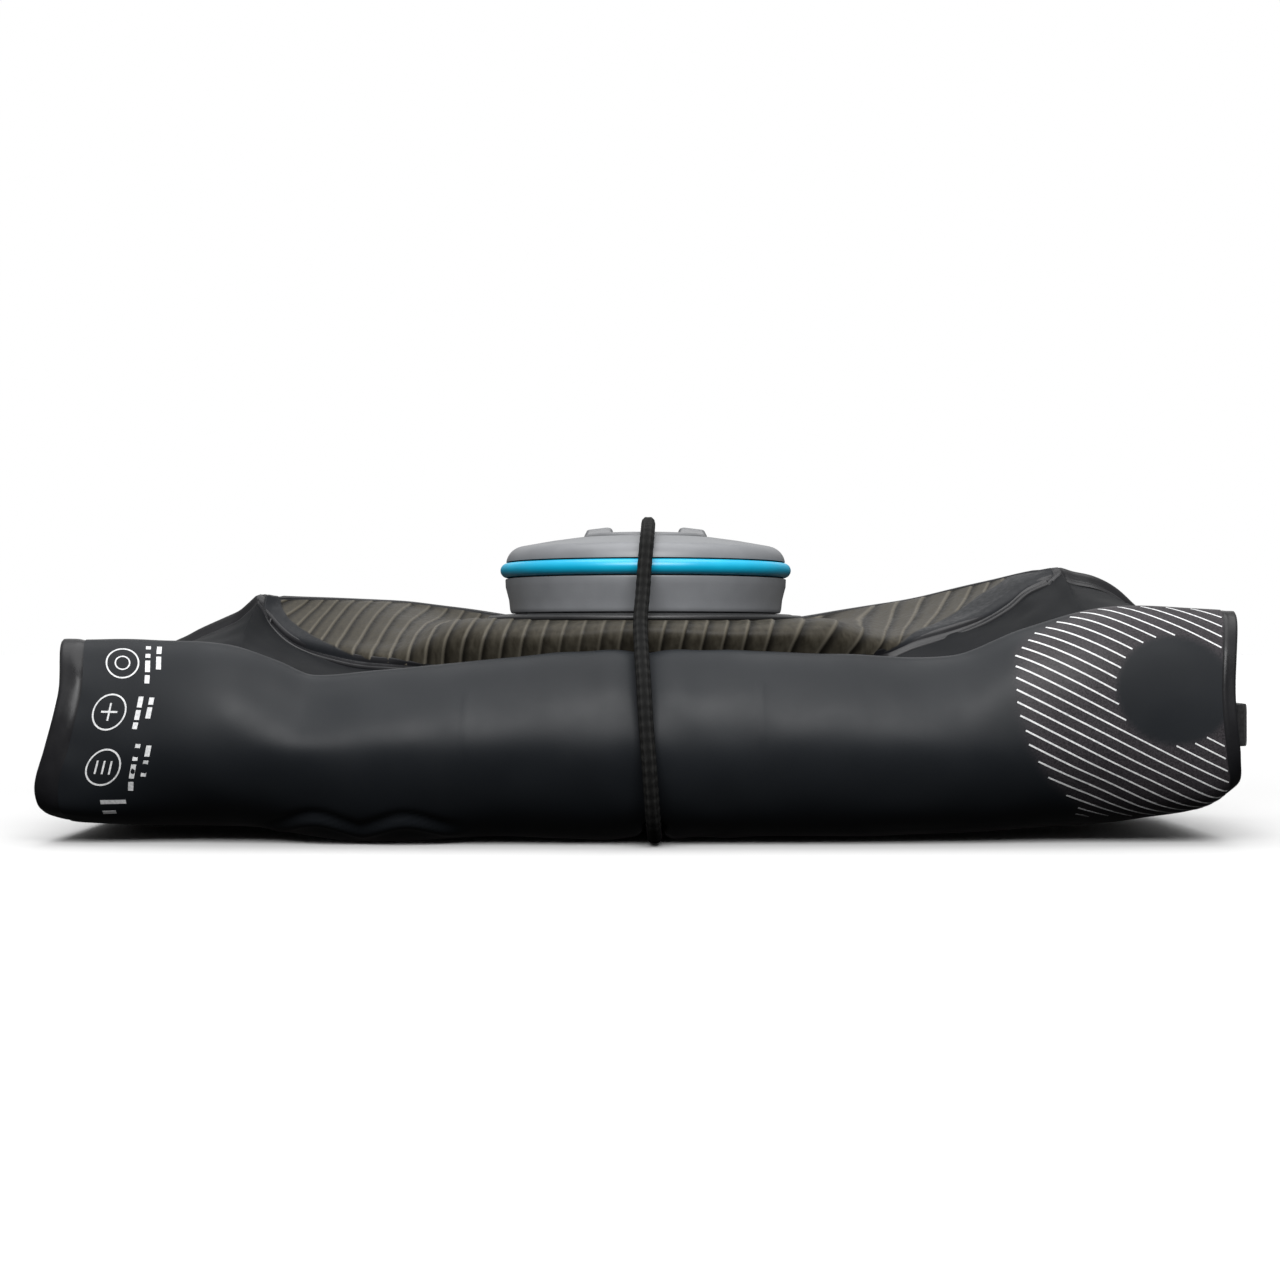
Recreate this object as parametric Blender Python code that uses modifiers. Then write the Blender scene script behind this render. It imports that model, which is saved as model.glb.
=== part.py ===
"""Packed hydration bladder: a soft reservoir rolled up under its screw cap.

Metres, +Z up, +X along the roll, the front of the roll faces -Y.  The bundle
stands on z = 0.  Section curves are drawn as (y, z) from the cap's axis and
moved into place by CAP_X and CAP_Y.
"""
import math

import bmesh
import bpy
from mathutils import Matrix, Vector

# ---------------------------------------------------------------- sizes
GAP = 0.0003                 # between parts that touch
WELD_GAP = 0.0013            # between a film and the weld along its slanted end
FILM = 0.0009                # thickness of the coated film
PLY = 0.0026                 # from the outer ply to the inner ply of the roll

CAP_X, CAP_Y = -0.0013, 0.0030     # the cap's axis
BAG_X, NECK_SHIFT = -0.0027, 0.0014      # zero of the lengths along the roll, and the neck's place there
CAP_SEGMENTS = 36

FLAT_LEVEL = 0.0506          # middle of the gusset's film under the flange
FLANGE_R, FLANGE_TOP = 0.0395, 0.0528
SPOUT_BORE, SPOUT_WALL = 0.0265, 0.0294
SPOUT_FOOT_R, SPOUT_BOTTOM, SPOUT_RIM = 0.0345, 0.0483, 0.0657
LEAD, THREAD_TURNS, THREAD_WIRE = 0.004, 1.25, 0.0011
CAP_INNER_R, CAP_ROOF = 0.0319, 0.0676
SKIRT_BOTTOM, SKIRT_BOTTOM_R = 0.0531, 0.0335
SKIRT_TOP, SKIRT_TOP_R = 0.0616, 0.0350
BAND_BOTTOM, BAND_TOP, BAND_R = 0.0619, 0.0655, 0.0362
GROOVE_R = 0.0336
SOCKET_R, SOCKET_WALL_R, SOCKET_BOTTOM = 0.0126, 0.0144, 0.0603
PLUG_R, PLUG_TOP, PLUG_SEAT, PLUG_STEM_R = 0.0155, 0.0728, 0.0707, 0.0116
LUG_TOP, LUG_HALF_WIDTH = 0.0745, 0.0038

HALF_LENGTH = 0.1385         # of the roll, before its ends are slanted
WELD_LEFT, WELD_RIGHT = 0.0060, 0.0036    # widths of the side welds
SEAM_WELD, TUCK_WELD, TUCK_START, BOTTOM_WELD = 0.0046, 0.0030, 0.0054, 0.0090
GUSSET_HALF_WIDTH = 0.0440
TIP_LEFT, TIP_RIGHT = -0.0988, 0.1055     # where the gusset's lens ends
FOLD_Y = -0.030              # how far forward the inner ply reaches before it turns back

CORD_R = 0.0017
CORD_FOOT_X = 0.0034         # where the cord passes under the roll
CORD_GROOVE, GROOVE_REACH = 0.0049, 0.0055
LOOP_Z, LOOP_WIDTH, WEBBING = 0.0265, 0.0100, 0.0011
PATCH_X = 0.1385             # middle of the lash patch, beyond the right side weld

# How far the slanted ends reach, by height: (z, reach).
LEFT_REACH = [(0.0060, 0.1372), (0.0135, 0.1370), (0.0218, 0.1345), (0.0305, 0.1325),
              (0.0368, 0.1319), (0.0466, 0.1337)]
RIGHT_REACH = [(0.0060, 0.1366), (0.0138, 0.1366), (0.0197, 0.1354), (0.0330, 0.1343),
               (0.0430, 0.1352), (0.0530, 0.1374)]

# Heights and depths along the roll: (x, value), each a smooth curve.
CREST = [(-0.137, 0.0469), (-0.116, 0.0465), (-0.098, 0.0456), (-0.087, 0.0418),
         (-0.078, 0.0382), (-0.061, 0.0399), (-0.026, 0.0426), (0.000, 0.0440),
         (0.045, 0.0435), (0.073, 0.0430), (0.089, 0.0492), (0.103, 0.0532),
         (0.113, 0.0543), (0.136, 0.0533)]
FOOT = [(-0.139, 0.0080), (-0.137, 0.0068), (-0.130, 0.0054), (-0.113, 0.0048),
        (-0.091, 0.0043), (-0.074, 0.0020), (-0.061, 0.0012), (-0.036, 0.0021),
        (0.000, 0.0026), (0.044, 0.0024), (0.088, 0.0040), (0.111, 0.0055),
        (0.121, 0.0071), (0.130, 0.0086), (0.134, 0.0103), (0.139, 0.0138)]
FRONT = [(-0.139, -0.049), (-0.100, -0.055), (-0.050, -0.058), (0.050, -0.058),
         (0.100, -0.055), (0.139, -0.050)]
BACK = [(-0.139, 0.036), (-0.090, 0.046), (0.000, 0.050), (0.090, 0.046), (0.139, 0.036)]
SEAM = [(-0.1390, 0.0438), (-0.1260, 0.0443), (-0.1184, 0.0468), (-0.1141, 0.0489),
        (-0.1075, 0.0518), (-0.1035, 0.0537), (-0.1010, 0.0558), (-0.0988, 0.0576),
        (-0.0942, 0.0573), (-0.0833, 0.0570), (-0.0703, 0.0566), (-0.0600, 0.0559),
        (-0.0387, 0.0532), (-0.0200, 0.0497), (0.0200, 0.0497), (0.0410, 0.0520),
        (0.0596, 0.0550), (0.0699, 0.0566), (0.0805, 0.0590), (0.0902, 0.0613),
        (0.0969, 0.0630), (0.1014, 0.0639), (0.1055, 0.0646), (0.1091, 0.0636),
        (0.1137, 0.0626), (0.1175, 0.0610), (0.1208, 0.0588), (0.1254, 0.0545),
        (0.1310, 0.0505), (0.1390, 0.0485)]
FRONT_SEAM = [(-0.0988, 0.0565), (-0.0949, 0.0505), (-0.0879, 0.0450), (-0.0773, 0.0420),
              (-0.0667, 0.0403), (-0.0500, 0.0400), (-0.0300, 0.0406), (0.0000, 0.0414),
              (0.0400, 0.0412), (0.0590, 0.0432), (0.0674, 0.0456), (0.0828, 0.0502),
              (0.0907, 0.0546), (0.0960, 0.0585), (0.1026, 0.0612), (0.1055, 0.0638)]

PANEL_STATIONS = ([-0.90, -0.83, -0.76, -0.68, -0.60, -0.48, -0.40, -0.34, -0.285]
                  + [(CORD_FOOT_X + side * GROOVE_REACH) / HALF_LENGTH for side in (-1, 0, 1)]
                  + [0.297, 0.36, 0.43, 0.50, 0.60, 0.70, 0.79, 0.86, 0.92])
TOP_POINTS, ROLL_POINTS, TUCK_POINTS, GUSSET_POINTS = 5, 36, 15, 12
PER_SPAN = 10                # dense points between two drawn section points


# ---------------------------------------------------------------- scene
def clear_scene():
    for item in list(bpy.data.objects):
        bpy.data.objects.remove(item, do_unlink=True)


def new_collection(name):
    collection = bpy.data.collections.new(name)
    bpy.context.scene.collection.children.link(collection)
    return collection


def material(name, colour, roughness, metallic=0.0):
    made = bpy.data.materials.new(name)
    made.use_nodes = True
    shader = made.node_tree.nodes["Principled BSDF"]
    shader.inputs["Base Color"].default_value = (*colour, 1.0)
    shader.inputs["Roughness"].default_value = roughness
    shader.inputs["Metallic"].default_value = metallic
    return made


def add_object(name, mesh, collection, look=None, at=(0.0, 0.0, 0.0)):
    item = bpy.data.objects.new(name, mesh)
    item.location = at
    collection.objects.link(item)
    if look is not None:
        mesh.materials.append(look)
    return item


def make_cutter(item):
    item.hide_render = True
    item.display_type = "WIRE"
    return item


def smooth(item, angle=35.0):
    item.data.shade_smooth()
    item.data.set_sharp_from_angle(angle=math.radians(angle))


def boolean(item, other, operation):
    made = item.modifiers.new(operation.lower(), "BOOLEAN")
    made.operation = operation
    made.solver = "EXACT"
    made.object = other


# ---------------------------------------------------------------- curves
def along(points, x):
    """Smooth curve through (x, value) points, read at x."""
    last = len(points) - 1
    if x <= points[0][0]:
        return points[0][1]
    if x >= points[last][0]:
        return points[last][1]
    i = next(k for k in range(last) if x < points[k + 1][0])

    def slope(k):
        before, after = points[max(k - 1, 0)], points[min(k + 1, last)]
        return (after[1] - before[1]) / (after[0] - before[0])

    (x0, v0), (x1, v1) = points[i], points[i + 1]
    step = x1 - x0
    t = (x - x0) / step
    return ((2 * t ** 3 - 3 * t ** 2 + 1) * v0 + (3 * t ** 2 - 2 * t ** 3) * v1
            + (t ** 3 - 2 * t ** 2 + t) * slope(i) * step
            + (t ** 3 - t ** 2) * slope(i + 1) * step)


def blend(low, high, x):
    """0 below low, 1 above high, smooth between them."""
    t = min(max((x - low) / (high - low), 0.0), 1.0)
    return t * t * (3.0 - 2.0 * t)


def mix(a, b, t):
    return a + (b - a) * t


def spline(points, per_span=PER_SPAN):
    """Dense points of a centripetal Catmull-Rom curve through points."""
    vectors = [Vector(p) for p in points]
    ends = [2 * vectors[0] - vectors[1]] + vectors + [2 * vectors[-1] - vectors[-2]]
    dense = []
    for a, b, c, d in zip(ends, ends[1:], ends[2:], ends[3:]):
        t1 = (b - a).length ** 0.5
        t2 = t1 + (c - b).length ** 0.5
        t3 = t2 + (d - c).length ** 0.5
        for step in range(per_span):
            t = mix(t1, t2, step / per_span)
            ab = a.lerp(b, t / t1)
            bc = b.lerp(c, (t - t1) / (t2 - t1))
            cd = c.lerp(d, (t - t2) / (t3 - t2))
            low = ab.lerp(bc, t / t2)
            high = bc.lerp(cd, (t - t1) / (t3 - t1))
            dense.append(low.lerp(high, (t - t1) / (t2 - t1)))
    dense.append(vectors[-1])
    return dense


def lengths(dense):
    total, run = 0.0, [0.0]
    for a, b in zip(dense, dense[1:]):
        total += (b - a).length
        run.append(total)
    return run


def point_at(dense, run, distance):
    distance = min(max(distance, 0.0), run[-1])
    i = next((k for k in range(len(run) - 1) if distance <= run[k + 1]), len(run) - 2)
    span = run[i + 1] - run[i]
    return dense[i].lerp(dense[i + 1], (distance - run[i]) / span if span else 0.0)


def stretch(dense, start, end, count):
    """count points of a curve between two distances, closer in its bends."""
    run = lengths(dense)
    fine = [point_at(dense, run, mix(start, end, k / 240)) for k in range(241)]
    weight = [0.0]
    for i in range(1, len(fine)):
        turn = 0.0
        if 1 < i < len(fine) - 1:
            turn = (fine[i] - fine[i - 1]).angle(fine[i + 1] - fine[i], 0.0)
        weight.append(weight[-1] + (fine[i] - fine[i - 1]).length / 0.028 + turn / 0.42)
    chosen = []
    for k in range(count):
        goal = weight[-1] * k / (count - 1)
        i = next((j for j in range(len(weight) - 1) if goal <= weight[j + 1]), len(weight) - 2)
        share = (goal - weight[i]) / (weight[i + 1] - weight[i])
        chosen.append(fine[i].lerp(fine[i + 1], share))
    return chosen


# ---------------------------------------------------------------- the bag's sections
def gusset_half_width(x):
    middle, half = (TIP_LEFT + TIP_RIGHT) / 2, (TIP_RIGHT - TIP_LEFT) / 2
    return GUSSET_HALF_WIDTH * max(1.0 - ((x - middle) / half) ** 2, 0.0)


def lift(x):
    """Height of the underside, which curls up towards both ends."""
    return FILM / 2 + max(1.10 * along(FOOT, x) - 0.0050, 0.0)


def groove(x):
    """Extra height over the elastic cord that runs under the roll."""
    return CORD_GROOVE * max(1.0 - abs(x - CORD_FOOT_X) / GROOVE_REACH, 0.0)


def rear_seam(x):
    return (gusset_half_width(x), along(SEAM, x))


def front_seam(x):
    if TIP_LEFT < x < TIP_RIGHT:
        return (-0.82 * gusset_half_width(x), along(FRONT_SEAM, x))
    return (0.0, along(SEAM, x) - PLY)


def gusset_section(x):
    """Film of the top gusset from its front seam to its rear seam."""
    width, (_, seam), (edge, low) = gusset_half_width(x), rear_seam(x), front_seam(x)
    outer = blend(0.041, 0.068, abs(x - NECK_SHIFT))
    middle = mix(FLAT_LEVEL, mix(low, seam, 0.60), outer)
    overhang = 1.0 - outer
    return [(edge, low),
            (-width * mix(0.78, 0.985, overhang), mix(low, middle, mix(0.25, 0.66, overhang))),
            (-width * mix(0.45, 0.87, overhang), mix(low, middle, mix(0.60, 0.995, overhang))),
            (0.0, middle),
            (width * mix(0.5, 0.86, overhang), mix(middle, seam, mix(0.5, 0.08, overhang))),
            (width, seam)]


def roll_section(x):
    """Outer ply: down the back, under, up the front, over the crest and round again."""
    front, back = along(FRONT, x), along(BACK, x)
    crest, foot, under = along(CREST, x), along(FOOT, x), lift(x)
    seam_y, seam_z = rear_seam(x)
    inner = min(0.036, 0.82 * crest)
    tray, shelf = mix(under, inner, 0.30), mix(under, inner, 0.78)
    square = blend(0.100, 0.134, abs(x))
    return [(seam_y, seam_z),
            (mix(seam_y, back, 0.75), mix(seam_z, 0.038, 0.48)),
            (back, 0.026), (back - 0.0035, under + 0.0085), (back - 0.016, under),
            (0.010, under), (-0.018, max(under, 1.055 * foot - 0.0023)),
            (front + mix(0.0160, 0.0080, square), foot + 0.0002),
            (front + mix(0.0055, 0.0024, square), foot + mix(0.0065, 0.0034, square)), (front, 0.0215),
            (front + 0.0036, crest - 0.0090), (front + 0.0120, crest - FILM / 2),
            (front + 0.0225, crest - 0.0052), (front + 0.0360, mix(crest, inner, 0.75)),
            (0.0, inner), (back - 0.017, inner - 0.003), (back - 0.0095, 0.55 * inner + 0.003),
            (back - 0.018, tray + 0.0008), (0.0, tray), (front + 0.020, tray + 0.0008),
            (front + 0.0095, mix(tray, shelf, 0.5)), (front + 0.0170, shelf),
            (front + 0.0310, shelf), (-0.004, mix(tray, shelf, 0.62)),
            (0.012, mix(tray, shelf, 0.54))]


def shifted(points, distance):
    """The same row of section points, moved to their inner side by an even distance."""
    flat = [Vector((point[0], point[1])) for point in points]
    sides = [Vector((b.y - a.y, a.x - b.x)).normalized() for a, b in zip(flat, flat[1:])]
    moved = []
    for i, point in enumerate(flat):
        before, after = sides[max(i - 1, 0)], sides[min(i, len(sides) - 1)]
        middle = (before + after).normalized()
        moved.append(point + middle * (distance / max(middle.dot(before), 0.6)))
    return moved


def outer_ply(x, start=SEAM_WELD + GAP):
    """Sampled outer ply: from the rear seam to the back, then round the roll."""
    dense = spline(roll_section(x))
    run = lengths(dense)
    back = run[2 * PER_SPAN]
    return (stretch(dense, start, back, TOP_POINTS),
            stretch(dense, back, run[-1] - BOTTOM_WELD - GAP, ROLL_POINTS))


def roll_top(x, y):
    """Height of the outer ply behind the crest, over which the inner ply is tucked."""
    front, crest = along(FRONT, x), along(CREST, x)
    inner = min(0.036, 0.82 * crest)
    return along([(front + 0.0120, crest), (front + 0.0225, crest - 0.0052),
                  (front + 0.0360, mix(crest, inner, 0.75)), (0.004, inner)], y)


def tuck_curve(x, roll):
    """The inner ply: from the front seam forward to a fold behind the crest, then to the back."""
    back, seam, (edge, low) = along(BACK, x), along(SEAM, x), front_seam(x)
    forward, ends = blend(-0.033, -0.021, edge), blend(0.114, 0.130, abs(x))
    fold = roll_top(x, FOLD_Y) + 0.0036

    def step(near, folded, closed):
        placed = [mix(a, b, forward) for a, b in zip(near, folded)]
        return tuple(mix(a, b, ends) for a, b in zip(placed, closed))

    return spline([(edge, low),
                   step((edge + 0.0014, low - 0.0005), (mix(edge, FOLD_Y, 0.5), mix(low, fold, 0.45)),
                        (0.0015, low - 0.0003)),
                   step((edge + 0.0045, max(low - 0.0010, roll_top(x, edge + 0.0045) + 0.0019)),
                        (FOLD_Y, fold), (0.0040, low - 0.0006)),
                   step((edge + 0.0100, roll_top(x, edge + 0.0100) + 0.0022),
                        (FOLD_Y + 0.0055, roll_top(x, FOLD_Y + 0.0055) + 0.0026), (0.0075, low - 0.0009)),
                   (0.34 * back, mix(0.0402, mix(seam, 0.038, 0.22) - PLY - 0.0015, ends)),
                   (0.72 * back, mix(0.0382, mix(seam, 0.038, 0.46) - PLY - 0.0012, ends)),
                   tuple(roll[0]), tuple(roll[1])])


def inner_ply(x):
    """Sampled inner ply: tucked under the gusset, then inside the outer ply."""
    roll = shifted(outer_ply(x)[1], PLY)
    dense = tuck_curve(x, roll)
    end = lengths(dense)[6 * PER_SPAN]
    return stretch(dense, TUCK_START, end, TUCK_POINTS) + roll[1:]


def lay(x, points):
    """Section points as places in the object, sheared to the slanted ends."""
    reach = LEFT_REACH if x < 0 else RIGHT_REACH
    return [(BAG_X + x / HALF_LENGTH * along(reach, point[1]), CAP_Y + point[0], point[1])
            for point in points]


def kept_up(x, points, extra=0.0):
    """Holds the underside level, and above the cord that runs under it."""
    floor = lift(x)
    level = [(point[0], max(point[1], floor + extra)) for point in points]
    return [(y, z + groove(x) * (1.0 - blend(0.0, 0.0065, z - extra - floor))) for y, z in level]


def loft(name, rows, thickness, collection, look):
    """One film: a grid through rows of places, thickened evenly."""
    mesh = bpy.data.meshes.new(name)
    build = bmesh.new()
    grid = [[build.verts.new(place) for place in row] for row in rows]
    for left, right in zip(grid, grid[1:]):
        for i in range(len(left) - 1):
            build.faces.new((left[i], left[i + 1], right[i + 1], right[i]))
    bmesh.ops.recalc_face_normals(build, faces=build.faces)
    build.to_mesh(mesh)
    build.free()
    item = add_object(name, mesh, collection, look)
    shell = item.modifiers.new("thickness", "SOLIDIFY")
    shell.thickness = thickness
    shell.offset = 0.0
    shell.use_even_offset = True
    smooth(item, 60.0)
    return item


def panel_stations():
    first = -1.0 + (WELD_LEFT + WELD_GAP) / HALF_LENGTH
    last = 1.0 - (WELD_RIGHT + WELD_GAP) / HALF_LENGTH
    return [HALF_LENGTH * share for share in [first] + PANEL_STATIONS + [last]]


# ---------------------------------------------------------------- films of the bag
def make_front_panel(collection, look):
    rows = []
    for x in panel_stations():
        top, roll = outer_ply(x)
        rows.append(lay(x, kept_up(x, top + roll[1:])))
    return loft("front_panel", rows, FILM, collection, look)


def make_back_panel(collection, look):
    rows = [lay(x, kept_up(x, inner_ply(x), PLY)) for x in panel_stations()]
    return loft("back_panel", rows, FILM, collection, look)


def make_bottom_weld(collection, look):
    rows = []
    for x in panel_stations():
        dense = spline(shifted(roll_section(x), PLY / 2))
        total = lengths(dense)[-1]
        rows.append(lay(x, stretch(dense, total - BOTTOM_WELD + GAP, total, 3)))
    return loft("bottom_weld", rows, FILM + PLY, collection, look)


def make_side_weld(name, side, width, collection, look):
    rows = []
    for x in (side * HALF_LENGTH, side * (HALF_LENGTH - width)):
        top, roll = outer_ply(x, 0.0)
        points = shifted(top + roll[1:], PLY / 2)
        rows.append(lay(x, kept_up(x, points, PLY / 2)))
    return loft(name, rows, FILM + PLY, collection, look)


def make_gusset_weld_rear(collection, look):
    rows = []
    for x in panel_stations():
        dense = spline(roll_section(x))
        rows.append(lay(x, stretch(dense, 0.0, SEAM_WELD, 3)))
    return loft("gusset_weld_rear", rows, FILM + 0.0004, collection, look)


def gusset_stations(inset):
    inner = [HALF_LENGTH * share for share in PANEL_STATIONS]
    first, last = TIP_LEFT + inset, TIP_RIGHT - inset
    return [first] + [x for x in inner if first + 0.004 < x < last - 0.004] + [last]


def make_gusset_weld_front(collection, look):
    rows = []
    for x in gusset_stations(0.006):
        dense = tuck_curve(x, shifted(outer_ply(x)[1], PLY))
        rows.append(lay(x, stretch(dense, 1.2 * FILM, TUCK_WELD, 3)))
    return loft("gusset_weld_front", rows, FILM + 0.0004, collection, look)


def under_flange(x, points):
    """The gusset lies flat where the neck's flange is welded to it."""
    level = []
    for point in points:
        y, z = point[0], point[1]
        if abs(x - NECK_SHIFT) < FLANGE_R + 0.0025:
            z = min(z, FLAT_LEVEL)
            if abs(y) < 0.84 * gusset_half_width(x) or math.hypot(x - NECK_SHIFT, y) < FLANGE_R + 0.001:
                z = FLAT_LEVEL
        level.append((y, z))
    return level


def make_top_gusset(collection, cutters, look):
    rows = []
    for x in gusset_stations(0.004):
        dense = spline(gusset_section(x))
        points = stretch(dense, 2 * FILM, lengths(dense)[-1] - 1.5 * FILM, GUSSET_POINTS)
        rows.append(lay(x, under_flange(x, points)))
    gusset = loft("top_gusset", rows, FILM, collection, look)
    hole = turned("gusset_hole", [(0.0, 0.060), (SPOUT_WALL + 0.0008, 0.060),
                                  (SPOUT_WALL + 0.0008, 0.040), (0.0, 0.040)], cutters)
    boolean(gusset, make_cutter(hole), "DIFFERENCE")
    return gusset


# ---------------------------------------------------------------- turned parts
def turned(name, profile, collection, look=None, closed=False, segments=CAP_SEGMENTS):
    """A profile of (radius, z), outer side downwards, turned about the cap's axis."""
    mesh = bpy.data.meshes.new(name)
    count = len(profile)
    edges = [(i, i + 1) for i in range(count - 1)] + ([(count - 1, 0)] if closed else [])
    mesh.from_pydata([(r, 0.0, z) for r, z in profile], edges, [])
    item = add_object(name, mesh, collection, look, (CAP_X, CAP_Y, 0.0))
    screw = item.modifiers.new("turn", "SCREW")
    screw.steps = screw.render_steps = segments
    screw.use_merge_vertices = True
    screw.merge_threshold = 0.00001
    screw.use_normal_calculate = False
    return item


def arc(centre_r, centre_z, radius, start, end, count):
    """Points of a round corner in a turned profile, angles in degrees."""
    return [(centre_r + radius * math.cos(math.radians(mix(start, end, k / count))),
             centre_z + radius * math.sin(math.radians(mix(start, end, k / count))))
            for k in range(count + 1)]


def evaluated_copy(item, name, collection, look=None):
    """The item's shape with its modifiers applied, as a mesh of its own."""
    bpy.context.view_layer.update()
    seen = item.evaluated_get(bpy.context.evaluated_depsgraph_get())
    mesh = bpy.data.meshes.new_from_object(seen)
    mesh.name = name
    build = bmesh.new()
    build.from_mesh(mesh)
    bmesh.ops.remove_doubles(build, verts=build.verts, dist=0.00001)
    build.to_mesh(mesh)
    build.free()
    copy = bpy.data.objects.new(name, mesh)
    copy.matrix_world = item.matrix_world.copy()
    collection.objects.link(copy)
    bpy.data.objects.remove(item, do_unlink=True)
    mesh.materials.clear()
    if look is not None:
        mesh.materials.append(look)
    return copy


def wire(name, places, radius, collection, resolution=2):
    """A round wire through places, ends filled."""
    curve = bpy.data.curves.new(name, "CURVE")
    curve.dimensions = "3D"
    curve.bevel_depth = radius
    curve.bevel_resolution = resolution
    curve.use_fill_caps = True
    line = curve.splines.new("POLY")
    line.points.add(len(places) - 1)
    for point, place in zip(line.points, places):
        point.co = (*place, 1.0)
    item = bpy.data.objects.new(name, curve)
    collection.objects.link(item)
    return item


def thread(name, radius, start_z, collection):
    """A screw thread's ridge as a helical wire, to be joined to a wall."""
    steps = round(THREAD_TURNS * 32)
    places = []
    for k in range(steps + 1):
        turn = THREAD_TURNS * k / steps
        angle = 2 * math.pi * turn
        places.append((radius * math.cos(angle), radius * math.sin(angle), start_z + LEAD * turn))
    ridge = wire(name, places, THREAD_WIRE, collection, 1)
    ridge.location = (CAP_X, CAP_Y, 0.0)
    return make_cutter(evaluated_copy(ridge, name, collection))


def make_neck_flange(collection, look):
    inner, bottom = SPOUT_WALL + 0.0005, FLAT_LEVEL + FILM / 2 + GAP
    profile = [(inner, FLANGE_TOP), (FLANGE_R - 0.0008, FLANGE_TOP), (FLANGE_R, FLANGE_TOP - 0.0007),
               (FLANGE_R, bottom), (inner, bottom)]
    item = turned("neck_flange", profile, collection, look, closed=True)
    smooth(item)
    return item


def make_neck_spout(collection, cutters, look):
    top_of_foot = FLAT_LEVEL - FILM / 2 - GAP
    profile = (arc(SPOUT_WALL - 0.0008, SPOUT_RIM - 0.0008, 0.0008, 90, 0, 2)
               + [(SPOUT_WALL, top_of_foot), (SPOUT_FOOT_R, top_of_foot),
                  (SPOUT_FOOT_R, SPOUT_BOTTOM), (SPOUT_BORE, SPOUT_BOTTOM),
                  (SPOUT_BORE, SPOUT_RIM)])
    item = turned("neck_spout", profile, collection, look, closed=True)
    ridge = thread("spout_thread", SPOUT_WALL + 0.0002, 0.0575, cutters)
    boolean(item, ridge, "UNION")
    smooth(item)
    return item


def make_cap_gasket(collection, look):
    profile = [(0.0265, 0.0673), (0.0314, 0.0673), (0.0314, 0.0660), (0.0265, 0.0660)]
    item = turned("cap_gasket", profile, collection, look, closed=True)
    smooth(item)
    return item


def make_cap_shell(collection, cutters, look):
    profile = ([(PLUG_R + 0.0004, 0.0717), (0.0240, 0.0708)]
               + arc(0.0303, 0.0652, 0.0045, 75, 8, 4)
               + [(0.03475, BAND_TOP + GAP), (GROOVE_R, BAND_TOP + GAP),
                  (GROOVE_R, SKIRT_TOP), (SKIRT_TOP_R, SKIRT_TOP),
                  (SKIRT_BOTTOM_R + 0.0004, SKIRT_BOTTOM + 0.0006),
                  (SKIRT_BOTTOM_R, SKIRT_BOTTOM), (CAP_INNER_R, SKIRT_BOTTOM),
                  (CAP_INNER_R, CAP_ROOF), (SOCKET_WALL_R, CAP_ROOF),
                  (SOCKET_WALL_R, SOCKET_BOTTOM), (SOCKET_R, SOCKET_BOTTOM),
                  (SOCKET_R, PLUG_SEAT), (PLUG_R + 0.0004, PLUG_SEAT)])
    item = turned("cap_shell", profile, collection, look, closed=True)
    ridge = thread("cap_thread", CAP_INNER_R - 0.0002, 0.0555, cutters)
    boolean(item, ridge, "UNION")
    notch = box("bayonet_notch", (0.0290, 0.0078, 0.0124),
                (CAP_X, CAP_Y, SOCKET_BOTTOM + 0.0044), cutters)
    notch.rotation_euler = (0.0, 0.0, math.radians(45.0))
    boolean(item, make_cutter(notch), "DIFFERENCE")
    smooth(item)
    return item


def make_grip_band(collection, look):
    inner = GROOVE_R + GAP
    half = (BAND_TOP - BAND_BOTTOM) / 2
    profile = ([(inner, BAND_TOP)] + arc(BAND_R - half, BAND_BOTTOM + half, half, 90, -90, 6)
               + [(inner, BAND_BOTTOM)])
    item = turned("grip_band", profile, collection, look, closed=True)
    smooth(item, 60.0)
    return item


def box(name, size, centre, collection, look=None):
    """A box given by size and centre, its corners in its own mesh."""
    mesh = bpy.data.meshes.new(name)
    build = bmesh.new()
    bmesh.ops.create_cube(build, size=1.0, matrix=Matrix.Diagonal((*size, 1.0)))
    build.to_mesh(mesh)
    build.free()
    return add_object(name, mesh, collection, look, centre)


def make_port_plug(collection, cutters, look):
    """Quarter-turn plug: flange, hollow stem with a ring groove, lugs and bayonet ears."""
    seat, stem_bottom = PLUG_SEAT + GAP, 0.0586
    profile = ([(0.0, PLUG_TOP)] + arc(PLUG_R - 0.0006, PLUG_TOP - 0.0006, 0.0006, 90, 0, 2)
               + [(PLUG_R, seat), (PLUG_STEM_R, seat), (PLUG_STEM_R, 0.0664),
                  (0.0102, 0.0664), (0.0102, 0.0640), (PLUG_STEM_R, 0.0640),
                  (PLUG_STEM_R, stem_bottom), (0.0090, stem_bottom), (0.0090, 0.0690),
                  (0.0, 0.0690)])
    item = turned("port_plug", profile, collection, look)
    for side in (-1, 1):
        lug = box(f"lug_{side}", (0.0077, 2 * LUG_HALF_WIDTH, LUG_TOP - PLUG_TOP + 0.0006),
                  (CAP_X + side * 0.01150, CAP_Y, (LUG_TOP + PLUG_TOP - 0.0006) / 2), cutters)
        for corner in lug.data.vertices:
            if corner.co.z > 0:
                corner.co.x *= 0.80
                corner.co.y *= 0.85
        boolean(item, make_cutter(lug), "UNION")
        ear = box(f"ear_{side}", (0.0030, 0.0060, 0.0013),
                  (CAP_X + side * 0.0123, CAP_Y, 0.05925), cutters)
        boolean(item, make_cutter(ear), "UNION")
    smooth(item)
    return item


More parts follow.
